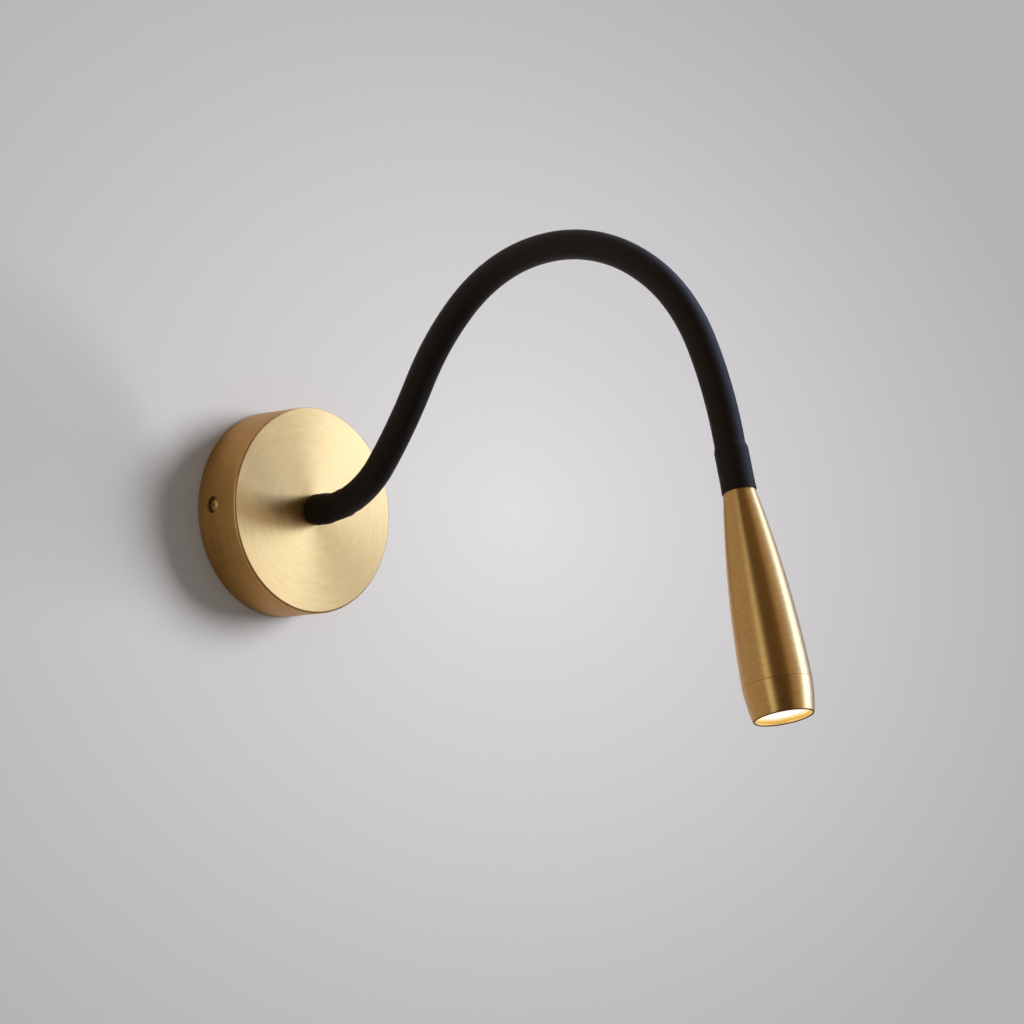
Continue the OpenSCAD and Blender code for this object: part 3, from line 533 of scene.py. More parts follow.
finishes = {
    # Pressed steel in a bright zinc skin, and drawn wire, which is duller
    "zinc_steel": plain("zinc_plated_steel", "#B9BCC0", 0.38, metallic=1.0),
    "wound_steel": plain("wound_spring_steel", "#77797C", 0.4, metallic=1.0),
    # Turned aluminium is the palest of the metals
    "bare_aluminium": plain("machined_aluminium", "#C9CCD0", 0.35, metallic=1.0),
    # Moulded plastic has a soft gloss, foam has none
    "white_plastic": plain("white_polycarbonate", "#ECECE6", 0.45, ior=1.58),
    "white_foam": plain("acrylic_foam_tape", "#D8D8D2", 0.85, cloud=0.8, ior=1.49),
    # The lacquer on circuit boards is glossier than paint, and tape on ferrite is dull
    "white_board": plain("white_solder_mask", "#EDEDE8", 0.4, ior=1.5),
    "green_board": plain("green_solder_mask", "#3E7A4B", 0.35, ior=1.5),
    "black_ferrite": plain("ferrite_and_tape", "#2B2A2C", 0.6, ior=1.5),
    # Wire insulation is evenly coloured and a little waxy
    "brown_lead": plain("brown_pvc_insulation", "#6B3F22", 0.5, ior=1.53),
    "green_lead": plain("green_pvc_insulation", "#7FA642", 0.5, ior=1.53),
    "black_lead": plain("black_pvc_insulation", "#1E1E20", 0.5, ior=1.53),
    # The phosphor of an LED is yellow when it is off
    "led_phosphor": plain("led_phosphor", "#F6D77A", 0.5, ior=1.5),
    "satin_brass": canopy_brass,
    "black_silicone": silicone,
}
# The lip's small round is painted dark brown: painted shade for the dark room that it mirrors
lip_brass_painted_shade = plain("brass_lip_painted_shade", "#7A4A14", 0.4, metallic=1.0)
# A rubbed edge is as pale as the face beside it, and so is a plated screw
polished_edge = plain("polished_brass_edge", "#D9A866", 0.42, metallic=1.0)
screw_brass = plain("brass_plated_steel", "#D6A968", 0.42, metallic=1.0)
print("finishes so far:", len(finishes))

# %% [markdown]
# ### The lit lens
# The LED is a small warm white source behind a clear moulded lens. Its light
# fills the lens, so the disc in the mouth looks evenly bright in the middle and a
# little warmer at its edge. Tracing light through a lens is slow and noisy, so
# the lens is drawn as a pale thing that shines by itself.

# %% The lit lens
# Colour of the lens from its middle (0) to its edge (1)
LENS_GLOW = ((0.6, "#FFFBF2"), (0.98, "#FFEFC2"))
LENS_GLOW_R = 11.0


def set_stops(ramp, colours):
    """Gives a colour ramp these positions and linear colours."""
    stops = ramp.color_ramp.elements
    while len(stops) < len(colours):
        stops.new(0.5)
    for stop, (position, colour) in zip(stops, colours):
        stop.position = position
        stop.color = colour


def lit_lens():
    """Warm white, bright enough to look lit and not so bright that its edge is lost."""
    material, tree = new_material("lit_clear_acrylic")
    offset, deep = depth_along(tree, mouth_middle, head_axis)
    reach = out_from(tree, offset, deep, head_axis)[1]
    share = add(tree, "ShaderNodeMath", {0: reach, 1: 1 / (LENS_GLOW_R * MM)},
                operation="MULTIPLY")
    glow = add(tree, "ShaderNodeValToRGB", {"Fac": share.outputs[0]})
    set_stops(glow, [(position, linear(colour)) for position, colour in LENS_GLOW])
    shader = add(tree, "ShaderNodeBsdfPrincipled", {
        "Base Color": linear("#3A3934"), "Roughness": 0.3, "IOR": 1.49,
        "Emission Color": glow.outputs["Color"], "Emission Strength": 0.97,
    })
    close_material(tree, shader)
    return material


finishes["clear_lens"] = lit_lens()
print("lens lit from its middle to", LENS_GLOW_R, "mm")

# %% [markdown]
# ### The lit mouth
# The brass wall between the lens and the lip stands in the full light of the
# lamp. In the photograph it is white beside the lens, golden further out and
# pale again at the lip, with turning marks in it. It shines by itself as the lens
# does, with a colour ramp that runs from the lens to the lip, and the marks of
# the lathe shift the colours a little.

# %% The lit mouth
MOUTH_RECESS = 3.0
# Colour of the mouth's wall from the lens (0) to the lip (1)
MOUTH_GLOW = (
    (0.05, "#FFFCEE"), (0.3, "#FCE3A0"), (0.6, "#E2A33E"), (0.8, "#F6CC70"), (0.95, "#FFEFB4"))
# How far the marks shift the colours, as a share of the wall
MARKS_SHIFT = 0.15


def lit_mouth():
    """Turned brass that glows in gold and white."""
    material, tree = new_material("lit_turned_brass")
    lens_front = arm_at(MOUTH - MOUTH_RECESS)[0]
    deep = depth_along(tree, lens_front, head_axis)[1]
    marks = lathe_marks(tree, head_top, head_axis, MOUTH_MARKS, streaks=1.5)[1]
    share = add(tree, "ShaderNodeMath", {0: deep, 1: 1 / (MOUTH_RECESS * MM)},
                operation="MULTIPLY")
    wave = add(tree, "ShaderNodeMapRange", {
        "Value": marks, "From Min": MARKS_LOW, "From Max": MARKS_HIGH,
        "To Min": -MARKS_SHIFT, "To Max": MARKS_SHIFT})
    spot = add(tree, "ShaderNodeMath", {0: share.outputs[0], 1: wave.outputs["Result"]},
               operation="ADD")
    glow = add(tree, "ShaderNodeValToRGB", {"Fac": spot.outputs[0]})
    set_stops(glow, [(position, linear(colour)) for position, colour in MOUTH_GLOW])
    shader = add(tree, "ShaderNodeBsdfPrincipled", {
        "Base Color": linear("#8C7440"), "Metallic": 1.0, "Roughness": 0.35,
        "Emission Color": glow.outputs["Color"], "Emission Strength": 0.8,
    })
    close_material(tree, shader)
    return material


mouth_brass = lit_mouth()
print("mouth lit over", MOUTH_RECESS, "mm")

# %% [markdown]
# ## Finishes on the solids
# Most solids are right as they are and only need their finish. Each one names its
# finish in the record, so a loop is enough. The screws and the head get a brass
# of their own.

# %% Finishes on the solids
slots = {row["node"]: row["material_slot"] for row in frame["record"]["subparts"]}
for node, solid in frame["nodes"].items():
    solid.data.materials.clear()
    solid.data.materials.append(finishes[slots[node]])
for node in ("nose_ring", "head_body"):
    frame["nodes"][node].data.materials[0] = head_brass
frame["nodes"]["side_screws"].data.materials[0] = screw_brass
print("solids finished:", len(slots))

# %% [markdown]
# ## The canopy
# The canopy is a shallow cup of thin brass. Its front edge is softly rounded,
# which shows as a thin line between the face and the darker side. The solid is
# right, but its facets would show in a satin highlight, so it is turned again
# with many more steps. The face, the edge and the side have a finish each; the
# side's is a darker brass, as painted shade.

# %% The canopy
CANOPY_R = 45.0
CANOPY_WALL = 1.2
CANOPY_FACE = 1.5
CANOPY_EDGE = 1.1
EDGE_STEPS = 8
# The hole for the arm's hollow thread
THREAD_R = 5.1
CANOPY_AROUND = 256

canopy_inner_r = CANOPY_R - CANOPY_WALL
edge_middle = (-CANOPY_EDGE, CANOPY_R - CANOPY_EDGE)
canopy_outline = (
    [(-CANOPY_DEPTH, canopy_inner_r), (-CANOPY_DEPTH, CANOPY_R)]
    + arc_points(edge_middle, CANOPY_EDGE, start=90, end=0, steps=EDGE_STEPS)
    + [(0, THREAD_R), (-CANOPY_FACE, THREAD_R), (-CANOPY_FACE, canopy_inner_r)]
)
canopy = turned("canopy_shell", canopy_outline, canopy_brass, around=CANOPY_AROUND)
# Band 0 is the rim on the wall, band 1 the side, and then comes the rounded edge
dress_bands(canopy, 2, 2 + EDGE_STEPS, CANOPY_AROUND, polished_edge)
# The side's darker brass is painted shade
dress_bands(canopy, 1, 2, CANOPY_AROUND, side_brass_painted_shade)
print("canopy turned:", len(canopy.data.polygons), "faces")

# %% [markdown]
# ### Holes for the side screws
# The two button heads stand in holes in the canopy's side. On the real canopy
# they are drilled, and here a Boolean modifier takes two round cutters out of the
# shell. The result is kept as a plain mesh, and the cutters are removed.

# %% Holes for the side screws
HOLE_R = 3.7
# Distance of the holes from the wall
HOLE_OUT = 9.2
# How far a cutter reaches to either side of the canopy's side
CUTTER_REACH = 3.0
CUTTER_AROUND = 48


def side_hole(side):
    """A round cutter through the canopy's side."""
    verts, faces, around = [], [], CUTTER_AROUND
    for x in (CANOPY_R - CUTTER_REACH, CANOPY_R + CUTTER_REACH):
        for a in range(around):
            t = 2 * math.pi * a / around
            y = -HOLE_OUT + HOLE_R * math.cos(t)
            verts.append(Vector((side * x, y, side * HOLE_R * math.sin(t))) * MM)
    for a in range(around):
        b = (a + 1) % around
        faces.append((a, b, around + b, around + a))
    faces.append(tuple(reversed(range(around))))
    faces.append(tuple(range(around, 2 * around)))
    mesh = bpy.data.meshes.new("cutter")
    mesh.from_pydata(verts, [], faces)
    return new_object("cutter", mesh)


def keep_result(piece):
    """Keeps what the modifiers made as a plain mesh, and removes them."""
    evaluated = piece.evaluated_get(bpy.context.evaluated_depsgraph_get())
    mesh = bpy.data.meshes.new_from_object(evaluated)
    piece.modifiers.clear()
    piece.data = mesh


def cut_holes(piece, cutters):
    """Cuts the cutters out of the piece and removes them."""
    for cutter in cutters:
        hole = piece.modifiers.new("hole", "BOOLEAN")
        hole.object = cutter
        hole.operation = "DIFFERENCE"
        hole.solver = "EXACT"
    keep_result(piece)
    for cutter in cutters:
        bpy.data.objects.remove(cutter)


cut_holes(canopy, [side_hole(-1), side_hole(1)])
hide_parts("canopy")
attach(canopy, "wall_base")
print("canopy with its holes:", len(canopy.data.polygons), "faces")

# %% [markdown]
# ## The sleeve
# The sleeve is one silicone tube, pushed over the arm. At the wall a thicker
# moulded foot covers a ferrule, and at the lamp the tube is stretched over
# another one, so both ends are a little fatter. Its radius is a function of the
# distance along the arm, made of soft steps, which follows the real cause better
# than a drawn curve: one term for each thing that the tube is stretched over.

# %% Radius of the sleeve
SLEEVE_R = 6.15
SLEEVE_BORE = 5.3
CUFF_R = 6.85
CUFF_BORE = 6.0
# The fatter ends are drawn this much slimmer than the solids, and the lip flares out again
CUFF_SLIM = 0.05
# Where the outside narrows behind the foot, widens over the cuff and flares at the lip: from, over
FOOT_NARROWS = (8.0, 6.0)
CUFF_WIDENS = (HOSE - 20.0, 3.0)
LIP_WIDENS = (HOSE - 5.0, 5.0)
LIP_FLARE = 0.12
# The same for the bore
BORE_NARROWS = (6.2, 1.8)
BORE_WIDENS = (HOSE - 19.2, 1.2)
# The tube slips off the foot's ferrule with a small wave, first out and then in
CREASE = 0.2
CREASE_WIDTH = 1.3
CREASE_OUT = 20.5
CREASE_IN = 23.0


def eased(s, span):
    """Rises softly from 0 to 1 over a span (from, over)."""
    x = min(1.0, max(0.0, (s - span[0]) / span[1]))
    return x * x * (3 - 2 * x)


def wave(s, middle):
    """A soft bump of height 1."""
    return math.exp(-((s - middle) / CREASE_WIDTH) ** 2)


def sleeve_radius(s):
    """Outer radius of the sleeve, s mm from the canopy."""
    wide = max(1 - eased(s, FOOT_NARROWS), eased(s, CUFF_WIDENS))
    crease = CREASE * wave(s, CREASE_OUT) - CREASE * wave(s, CREASE_IN)
    lip = LIP_FLARE * eased(s, LIP_WIDENS)
    return SLEEVE_R + (CUFF_R - SLEEVE_R - CUFF_SLIM) * wide + crease + lip


def sleeve_bore(s):
    """Inner radius of the sleeve, s mm from the canopy."""
    wide = max(1 - eased(s, BORE_NARROWS), eased(s, BORE_WIDENS))
    return SLEEVE_BORE + (CUFF_BORE - SLEEVE_BORE) * wide


print("sleeve", round(2 * sleeve_radius(HOSE / 2), 2), "mm across in the middle")

# %% [markdown]
# ### Lengths of the sleeve
# The tube is made in eight lengths, one for each joint of the solids. Each length
# is turned along the bent centre line, but it is not made to follow the bodies
# that its joint joins. Their end rings share the same points, so no gap shows.

# %% Lengths of the sleeve
# Thickness of the foot in front of the canopy, and its oval rounding, along and across
FOOT_T = 1.2
FOOT_ROUND = 2.6
FOOT_BULGE = 1.7
LIP_ROUND = 0.25
RING_STEP = 1.0
# So many mm in from each end of a length, where a bending piece would follow one body alone
BLEND_MARGIN = 3.0


def stations(start, end, step):
    """Evenly spaced distances from start to end, about one step apart."""
    count = max(1, round(abs(end - start) / step))
    return [start + (end - start) * i / count for i in range(count + 1)]


def sleeve_outline(k):
    """Outline of length k: the first has the foot at its start, the last the lip at its end."""
    first, last = k == 0, k == len(BENDS) - 1
    start = STUB + STRETCH * k
    end = start + STRETCH
    outside = stations(FOOT_ROUND if first else start, HOSE - LIP_ROUND if last else end, RING_STEP)
    inside = stations(HOSE if last else end, FOOT_T if first else start, RING_STEP)
    outer = [(s, sleeve_radius(s)) for s in outside]
    inner = [(s, sleeve_bore(s)) for s in inside]
    if first:
        r = sleeve_radius(0)
        quarter = arc_points((0, 0), 1, start=180, end=90, steps=10)[:-1]
        outer = [(FOOT_ROUND * (1 + a), r + FOOT_BULGE * (b - 1)) for a, b in quarter] + outer
        inner += [(FOOT_T, THREAD_R), (0, THREAD_R)]
    if last:
        lip_middle = (HOSE - LIP_ROUND, sleeve_radius(HOSE) - LIP_ROUND)
        outer += arc_points(lip_middle, LIP_ROUND, start=90, end=0, steps=4)[1:]
    return outer + inner


def bend_with_arm(piece, k):
    """Bakes the piece's place into its mesh, which already lies along the bent centre line. Where
    body k and body k + 1 would take over is worked out but not used.
    """
    start = arm_at(STUB + STRETCH * k + BLEND_MARGIN)[0]
    end = arm_at(STUB + STRETCH * (k + 1) - BLEND_MARGIN)[0]
    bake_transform(piece)


for k in range(len(BENDS)):
    name = "sleeve_length_%d" % (k + 1)
    piece = turned(name, sleeve_outline(k), silicone, around=64, sharp=50)
    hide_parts("arm_sleeve_%d" % (k + 1))
    bend_with_arm(piece, k)
print("sleeve lengths:", len(BENDS))

# %% [markdown]
# ## The head
# The head is a long tear-drop, turned from bar. Its side is one shallow arc from
# the arm to the widest place, and a small bevel there makes the fine line where
# the nose ring meets it. Its bore has the steps of the solid one, for the thread
# of the arm, the leads, the heat sink and the thread of the nose ring, although
# nobody looks in: a closed shell with a true wall also looks right when it is cut.

# %% The head
HEAD_TOP_R = 6.45
HEAD_MAX_R = 13.7
HEAD_BULGE = 1.6
SEAM = 0.15
# Clearance of a thread or a seat
FIT = 0.05
SOCKET_R = 4.0 + FIT
SOCKET_END = 12.0
NARROW_R = 6.0
NARROW_END = 36.0
WIDE_R = 9.5
SINK_R = 11.15 + FIT
RING_THREAD_R = 12.3
RING_THREAD_LEN = 6.0
HEAD_AROUND = 192
# What stands behind the lens: its flange, its holder, the board and the heat sink
LENS_FRONT = HEAD_END - MOUTH_RECESS
FLANGE = 1.6
HOLDER_LEN = 15.6
BOARD_T = 1.2
SINK_LEN = 15.0
sink_back = LENS_FRONT - FLANGE - HOLDER_LEN - BOARD_T - SINK_LEN

head_side = bulging((0, HEAD_TOP_R), (HEAD_LEN, HEAD_MAX_R), HEAD_BULGE, steps=48)
head_side = [p for p in head_side if p[0] < HEAD_LEN - SEAM]
head_side += [(HEAD_LEN - SEAM, HEAD_MAX_R), (HEAD_LEN, HEAD_MAX_R - SEAM)]
head_bore = [
    (HEAD_LEN, RING_THREAD_R + FIT), (HEAD_LEN - RING_THREAD_LEN, RING_THREAD_R + FIT),
    (HEAD_LEN - RING_THREAD_LEN, SINK_R), (sink_back, SINK_R), (sink_back, WIDE_R),
    (NARROW_END, WIDE_R), (NARROW_END, NARROW_R), (SOCKET_END, NARROW_R),
    (SOCKET_END, SOCKET_R), (0, SOCKET_R),
]
head = turned("turned_head", head_side + head_bore, head_brass, HOSE, HEAD_AROUND)
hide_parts("head_body")
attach(head, "lamp_head")
print("head:", len(head.data.polygons), "faces, heat sink from", round(sink_back, 1), "mm")

# %% [markdown]
# ## The nose ring
# The nose ring screws into the front of the head and holds the lens. Outside it
# tapers to the mouth. Its lip is a small round, painted dark brown as painted
# shade for the dark room that it mirrors, which shows as a dark line, and the
# lit wall behind it has a small step before the lens. They are bands of the same
# outline, with finishes of their own.

# %% The nose ring
MOUTH_R = 12.0
NOSE_BULGE = 0.25
LIP_ROUND_R = 0.45
LENS_R = 10.9
LENS_LIP = 10.5
# The ring's thread is this much shorter than the head's
THREAD_SPARE = 0.2

lip_in_r = MOUTH_R - 2 * LIP_ROUND_R
ring_back = HEAD_LEN - RING_THREAD_LEN + THREAD_SPARE
nose_side = bulging((HEAD_LEN, HEAD_MAX_R), (HEAD_END, MOUTH_R), NOSE_BULGE, steps=12)[1:-1]
nose_front = [
    (ring_back, LENS_R + FIT), (ring_back, RING_THREAD_R), (HEAD_LEN, RING_THREAD_R),
    (HEAD_LEN, HEAD_MAX_R - SEAM), (HEAD_LEN + SEAM, HEAD_MAX_R),
] + nose_side
lip_middle = (HEAD_END - LIP_ROUND_R, MOUTH_R - LIP_ROUND_R)
lip = arc_points(lip_middle, LIP_ROUND_R, start=80, end=-80, steps=10)
# The wall behind the lip, as mm in front of the lens and radius
mouth_wall = ((1.6, lip_in_r - 0.1), (1.4, LENS_LIP + 0.15), (0.2, LENS_LIP), (0, LENS_LIP))
nose_outline = nose_front + lip + [(LENS_FRONT + s, r) for s, r in mouth_wall]
nose_outline.append((LENS_FRONT, LENS_R + FIT))
nose = turned("nose_cap", nose_outline, head_brass, HOSE, HEAD_AROUND)
wall_band = len(nose_front) + len(lip) - 1
# The lip's dark brown is painted shade
dress_bands(nose, len(nose_front), wall_band, HEAD_AROUND, lip_brass_painted_shade)
dress_bands(nose, wall_band, len(nose_outline), HEAD_AROUND, mouth_brass)
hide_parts("nose_ring")
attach(nose, "lamp_head")
print("nose ring:", len(nose.data.polygons), "faces")

# %% [markdown]
# ## The lens
# The lens is one moulded piece: a cone that gathers the light, a pocket over the
# LED and a flange that the nose ring holds. Its front is domed a little. The dome
# is a circle's arc through its edge and its top, and the outline starts and ends
# on the axis, which the turning closes with a pole.

# %% The lens
LENS_LEN = 16.4
LENS_SMALL_R = 4.4
CONE_R = 9.9
# The cone's last stretch, which is straight
CONE_STRAIGHT = 1.0
POCKET_R = 3.0
POCKET_DEPTH = 3.8
DOME = 2.2
DOME_EDGE_R = 10.3

dome_r = (DOME_EDGE_R ** 2 + DOME ** 2) / (2 * DOME)
dome_half = math.degrees(math.asin(DOME_EDGE_R / dome_r))
lens_back = LENS_FRONT - LENS_LEN
cone_front = LENS_FRONT - FLANGE
dome = arc_points((LENS_FRONT + DOME - dome_r, 0), dome_r, start=dome_half, end=0, steps=16)
lens_outline = [
    (lens_back + POCKET_DEPTH, 0), (lens_back + POCKET_DEPTH, POCKET_R), (lens_back, POCKET_R),
    (lens_back, LENS_SMALL_R), (cone_front - CONE_STRAIGHT, CONE_R), (cone_front, CONE_R),
    (cone_front, LENS_R), (LENS_FRONT, LENS_R),
] + dome
# The arc's last point is set on the axis itself, so that it makes a pole
lens_outline[-1] = (LENS_FRONT + DOME, 0)
lens = turned("domed_lens", lens_outline, finishes["clear_lens"], HOSE)
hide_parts("lens")
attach(lens, "lamp_head")
print("lens:", len(lens.data.polygons), "faces, dome radius", round(dome_r, 1), "mm")

# %% [markdown]
# ## The wound core and its leads
# Inside the sleeve the arm is a coil of steel wire, which is what lets it bend
# and stay. Geometry nodes suit it, because a coil follows a rule: a tree winds one
# length of it, and a second tree lays the two leads. Both make their shape
# straight and then move every point onto the arm's centre line, with the same
# nodes. Nobody sees them unless the light is cut open. They are made in the same
# lengths as the sleeve, one for each joint.

# %% A tree that ends on the centre line
# The leads go on through the thread that holds the head
LEAD_END = HOSE + 8.0
# Distance between two points of the sampled centre line
LINE_STEP = 0.5


def new_tree(name, numbers):
    """A tree of geometry nodes. Its inputs are these numbers, the centre line and a finish."""
    tree = bpy.data.node_groups.new(name, "GeometryNodeTree")
    sockets = [(number, "NodeSocketFloat") for number in numbers]
    sockets += [("Centre line", "NodeSocketObject"), ("Finish", "NodeSocketMaterial")]
    for label, kind in sockets:
        tree.interface.new_socket(name=label, in_out="INPUT", socket_type=kind)
    tree.interface.new_socket(name="Geometry", in_out="OUTPUT", socket_type="NodeSocketGeometry")
    return tree, add(tree, "NodeGroupInput")


def centre_line():
    """The centre line as a curve, for the trees to sample. It is removed once they have run."""
    data = bpy.data.curves.new("centre_line", "CURVE")
    data.dimensions = "3D"
    spots = stations(0, LEAD_END, LINE_STEP)
    spline = data.splines.new("POLY")
    spline.points.add(len(spots) - 1)
    for point, s in zip(spline.points, spots):
        point.co = (*arm_at(s)[0], 1)
    return new_object("centre_line", data)


def lay_along(tree, group, shape):
    """Moves straight geometry, with its length on Z, onto the centre line, and ends the tree."""
    line = add(tree, "GeometryNodeObjectInfo", {"Object": group.outputs["Centre line"]})
    at = add(tree, "GeometryNodeInputPosition")
    parts = add(tree, "ShaderNodeSeparateXYZ", {0: at.outputs[0]})
    spot = add(tree, "GeometryNodeSampleCurve", {
        "Curves": line.outputs["Geometry"], "Length": parts.outputs["Z"]},
        mode="LENGTH", use_all_curves=True)
    upper = add(tree, "ShaderNodeVectorMath", {0: spot.outputs["Tangent"], 1: RIGHT},
                operation="CROSS_PRODUCT")
    sideways = add(tree, "ShaderNodeCombineXYZ", {"X": parts.outputs["X"]})
    lift = add(tree, "ShaderNodeVectorMath", {0: upper.outputs[0], "Scale": parts.outputs["Y"]},
               operation="SCALE")
    partly = add(tree, "ShaderNodeVectorMath", {0: spot.outputs["Position"], 1: sideways.outputs[0]},
                 operation="ADD")
    whole = add(tree, "ShaderNodeVectorMath", {0: partly.outputs[0], 1: lift.outputs[0]},
                operation="ADD")
    moved = add(tree, "GeometryNodeSetPosition", {"Geometry": shape, "Position": whole.outputs[0]})
    smooth = add(tree, "GeometryNodeSetShadeSmooth", {"Geometry": moved.outputs[0]})
    real = add(tree, "GeometryNodeRealizeInstances", {"Geometry": smooth.outputs[0]})
    dressed = add(tree, "GeometryNodeSetMaterial", {
        "Geometry": real.outputs[0], "Material": group.outputs["Finish"]})
    add(tree, "NodeGroupOutput", {"Geometry": dressed.outputs[0]})


line = centre_line()
print("centre line:", len(line.data.splines[0].points), "points")

# %% [markdown]
# ### A tree that winds wire
# A spiral of constant radius carries a round wire. Its turns, height and radius
# are inputs of the tree, so one tree winds every length.

# %% A tree that winds wire
SPIRAL_STEPS = 24
WIRE_SIDES = 8


def core_tree():
    """One length of round wire, wound turn beside turn."""
    tree, group = new_tree(
        "wound_core", ("Start", "Length", "Turns", "Winding radius", "Wire radius"))
    spiral = add(tree, "GeometryNodeCurveSpiral", {
        "Resolution": SPIRAL_STEPS, "Rotations": group.outputs["Turns"],
        "Start Radius": group.outputs["Winding radius"],
        "End Radius": group.outputs["Winding radius"], "Height": group.outputs["Length"]})
    section = add(tree, "GeometryNodeCurvePrimitiveCircle", {
        "Resolution": WIRE_SIDES, "Radius": group.outputs["Wire radius"]}, mode="RADIUS")
    wire = add(tree, "GeometryNodeCurveToMesh", {
        "Curve": spiral.outputs[0], "Profile Curve": section.outputs[0], "Fill Caps": True})
    lifted = add(tree, "ShaderNodeCombineXYZ", {"Z": group.outputs["Start"]})
    raised = add(tree, "GeometryNodeTransform", {
        "Geometry": wire.outputs[0], "Translation": lifted.outputs[0]})
    lay_along(tree, group, raised.outputs[0])
    return tree


winding = core_tree()
print("winding tree:", len(winding.nodes), "nodes")

# %% [markdown]
# ### A tree that lays two leads
# Each lead is a straight line with a round section. The line is cut into short
# steps first, or it would stay straight between its two ends.

# %% A tree that lays two leads
LEAD_STEP = 1.5
LEAD_SIDES = 12


def lead_tree():
    """Two leads side by side."""
    tree, group = new_tree("lead_pair", ("Start", "Length", "Distance apart", "Lead radius"))
    top = add(tree, "ShaderNodeMath", {0: group.outputs["Start"], 1: group.outputs["Length"]},
              operation="ADD")
    half = add(tree, "ShaderNodeMath", {0: group.outputs["Distance apart"], 1: 0.5},
               operation="MULTIPLY")
    section = add(tree, "GeometryNodeCurvePrimitiveCircle", {
        "Resolution": LEAD_SIDES, "Radius": group.outputs["Lead radius"]}, mode="RADIUS")
    both = add(tree, "GeometryNodeJoinGeometry")
    for side in (-1, 1):
        aside = add(tree, "ShaderNodeMath", {0: half.outputs[0], 1: side}, operation="MULTIPLY")
        low = add(tree, "ShaderNodeCombineXYZ", {
            "X": aside.outputs[0], "Z": group.outputs["Start"]})
        high = add(tree, "ShaderNodeCombineXYZ", {"X": aside.outputs[0], "Z": top.outputs[0]})
        straight = add(tree, "GeometryNodeCurvePrimitiveLine", {
            "Start": low.outputs[0], "End": high.outputs[0]})
        fine = add(tree, "GeometryNodeResampleCurve", {
            "Curve": straight.outputs[0], "Length": LEAD_STEP * MM}, mode="LENGTH")
        lead = add(tree, "GeometryNodeCurveToMesh", {
            "Curve": fine.outputs[0], "Profile Curve": section.outputs[0], "Fill Caps": True})
        tree.links.new(lead.outputs[0], both.inputs[0])
    lay_along(tree, group, both.outputs[0])
    return tree


laying = lead_tree()
print("lead tree:", len(laying.nodes), "nodes")

# %% [markdown]
# ### Winding the core and laying the leads
# A tree runs as a modifier on an empty object. Its inputs are set by their
# identifiers, the result is kept as a plain mesh, and the modifier is removed. The
# solid core has nine lengths, one for each body, and the wound one eight, one for
# each joint, so the last of these stands for two solids.

# %% Winding the core and laying the leads
CORE_R = 5.0
CORE_BORE = 2.8
# The core stands on the floors of its two ferrules
CORE_START = 3.2
CORE_END = HOSE - 4.0
WIRE_R = (CORE_R - CORE_BORE) / 2
# Room between two turns of the wire
WIRE_GAP = 0.05
LEAD_R = 0.9
LEAD_APART = 2.2


def grown(name, tree, values):
    """Runs a tree on an empty object and keeps the result as a plain mesh."""
    holder = new_object(name, bpy.data.meshes.new(name))
    modifier = holder.modifiers.new("grown", "NODES")
    modifier.node_group = tree
    for item in tree.interface.items_tree:
        if item.item_type == "SOCKET" and item.in_out == "INPUT":
            modifier[item.identifier] = values[item.name]
    keep_result(holder)
    holder.data.name = name
    return holder


def wound_core(k, start, end):
    """Length k of the core. The wire's middle stays its own radius inside both ends."""
    height = end - start - 2 * WIRE_R
    return grown("wound_core_%d" % (k + 1), winding, {
        "Start": (start + WIRE_R) * MM, "Length": height * MM,
        "Turns": height / (2 * WIRE_R + WIRE_GAP), "Winding radius": (CORE_R - WIRE_R) * MM,
        "Wire radius": WIRE_R * MM, "Centre line": line, "Finish": finishes["wound_steel"]})


def lead_pair(k, start, end):
    """Length k of the two leads."""
    return grown("lead_pair_%d" % (k + 1), laying, {
        "Start": start * MM, "Length": (end - start) * MM, "Distance apart": LEAD_APART * MM,
        "Lead radius": LEAD_R * MM, "Centre line": line, "Finish": finishes["black_lead"]})


for k in range(len(BENDS)):
    first, last = k == 0, k == len(BENDS) - 1
    start = STUB + STRETCH * k
    end = STUB + STRETCH * (k + 1)
    core = wound_core(k, CORE_START if first else start, CORE_END if last else end)
    core_nodes = ["arm_core_%d" % (k + 1)] + (["arm_core_%d" % (k + 2)] if last else [])
    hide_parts(*core_nodes)
    bend_with_arm(core, k)
    pair = lead_pair(k, 0 if first else start, LEAD_END if last else end)
    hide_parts("arm_leads_%d" % (k + 1))
    bend_with_arm(pair, k)
bpy.data.objects.remove(line)
print("core and leads made in", len(BENDS), "lengths, wire", round(2 * WIRE_R, 2), "mm thick")

# %% [markdown]
# ## The paint of the wall
# The light hangs on a plain pale wall. The wall is brightest behind the arm and
# falls off softly to the corners, as a lit backdrop does. A lamp could make that
# fall, but would change the brass too, so it is painted: a colour ramp runs out
# from the middle of the picture. Seen from behind the wall is clear to the camera
# only, so that the back of the light can be looked at, and it still takes the
# light's shadow.

# %% The paint of the wall
# The wall stands this far behind the back of the light
WALL_Y = 0.3 * MM
# Where the camera looks, on the wall
wall_middle = camera.location - towards * ((camera.location.y - WALL_Y) / towards.y)
# Brightness of the paint from the middle outwards, by distance in pixels of the photograph
FALL = ((0, 0.87), (190, 0.76), (340, 0.69), (500, 0.612), (700, 0.535))
FALL_END = FALL[-1][0]
# The large light is a little bluish, so the paint is a little warm, and the wall looks grey
PAINT_TINT = (0.989, 0.981, 0.971)


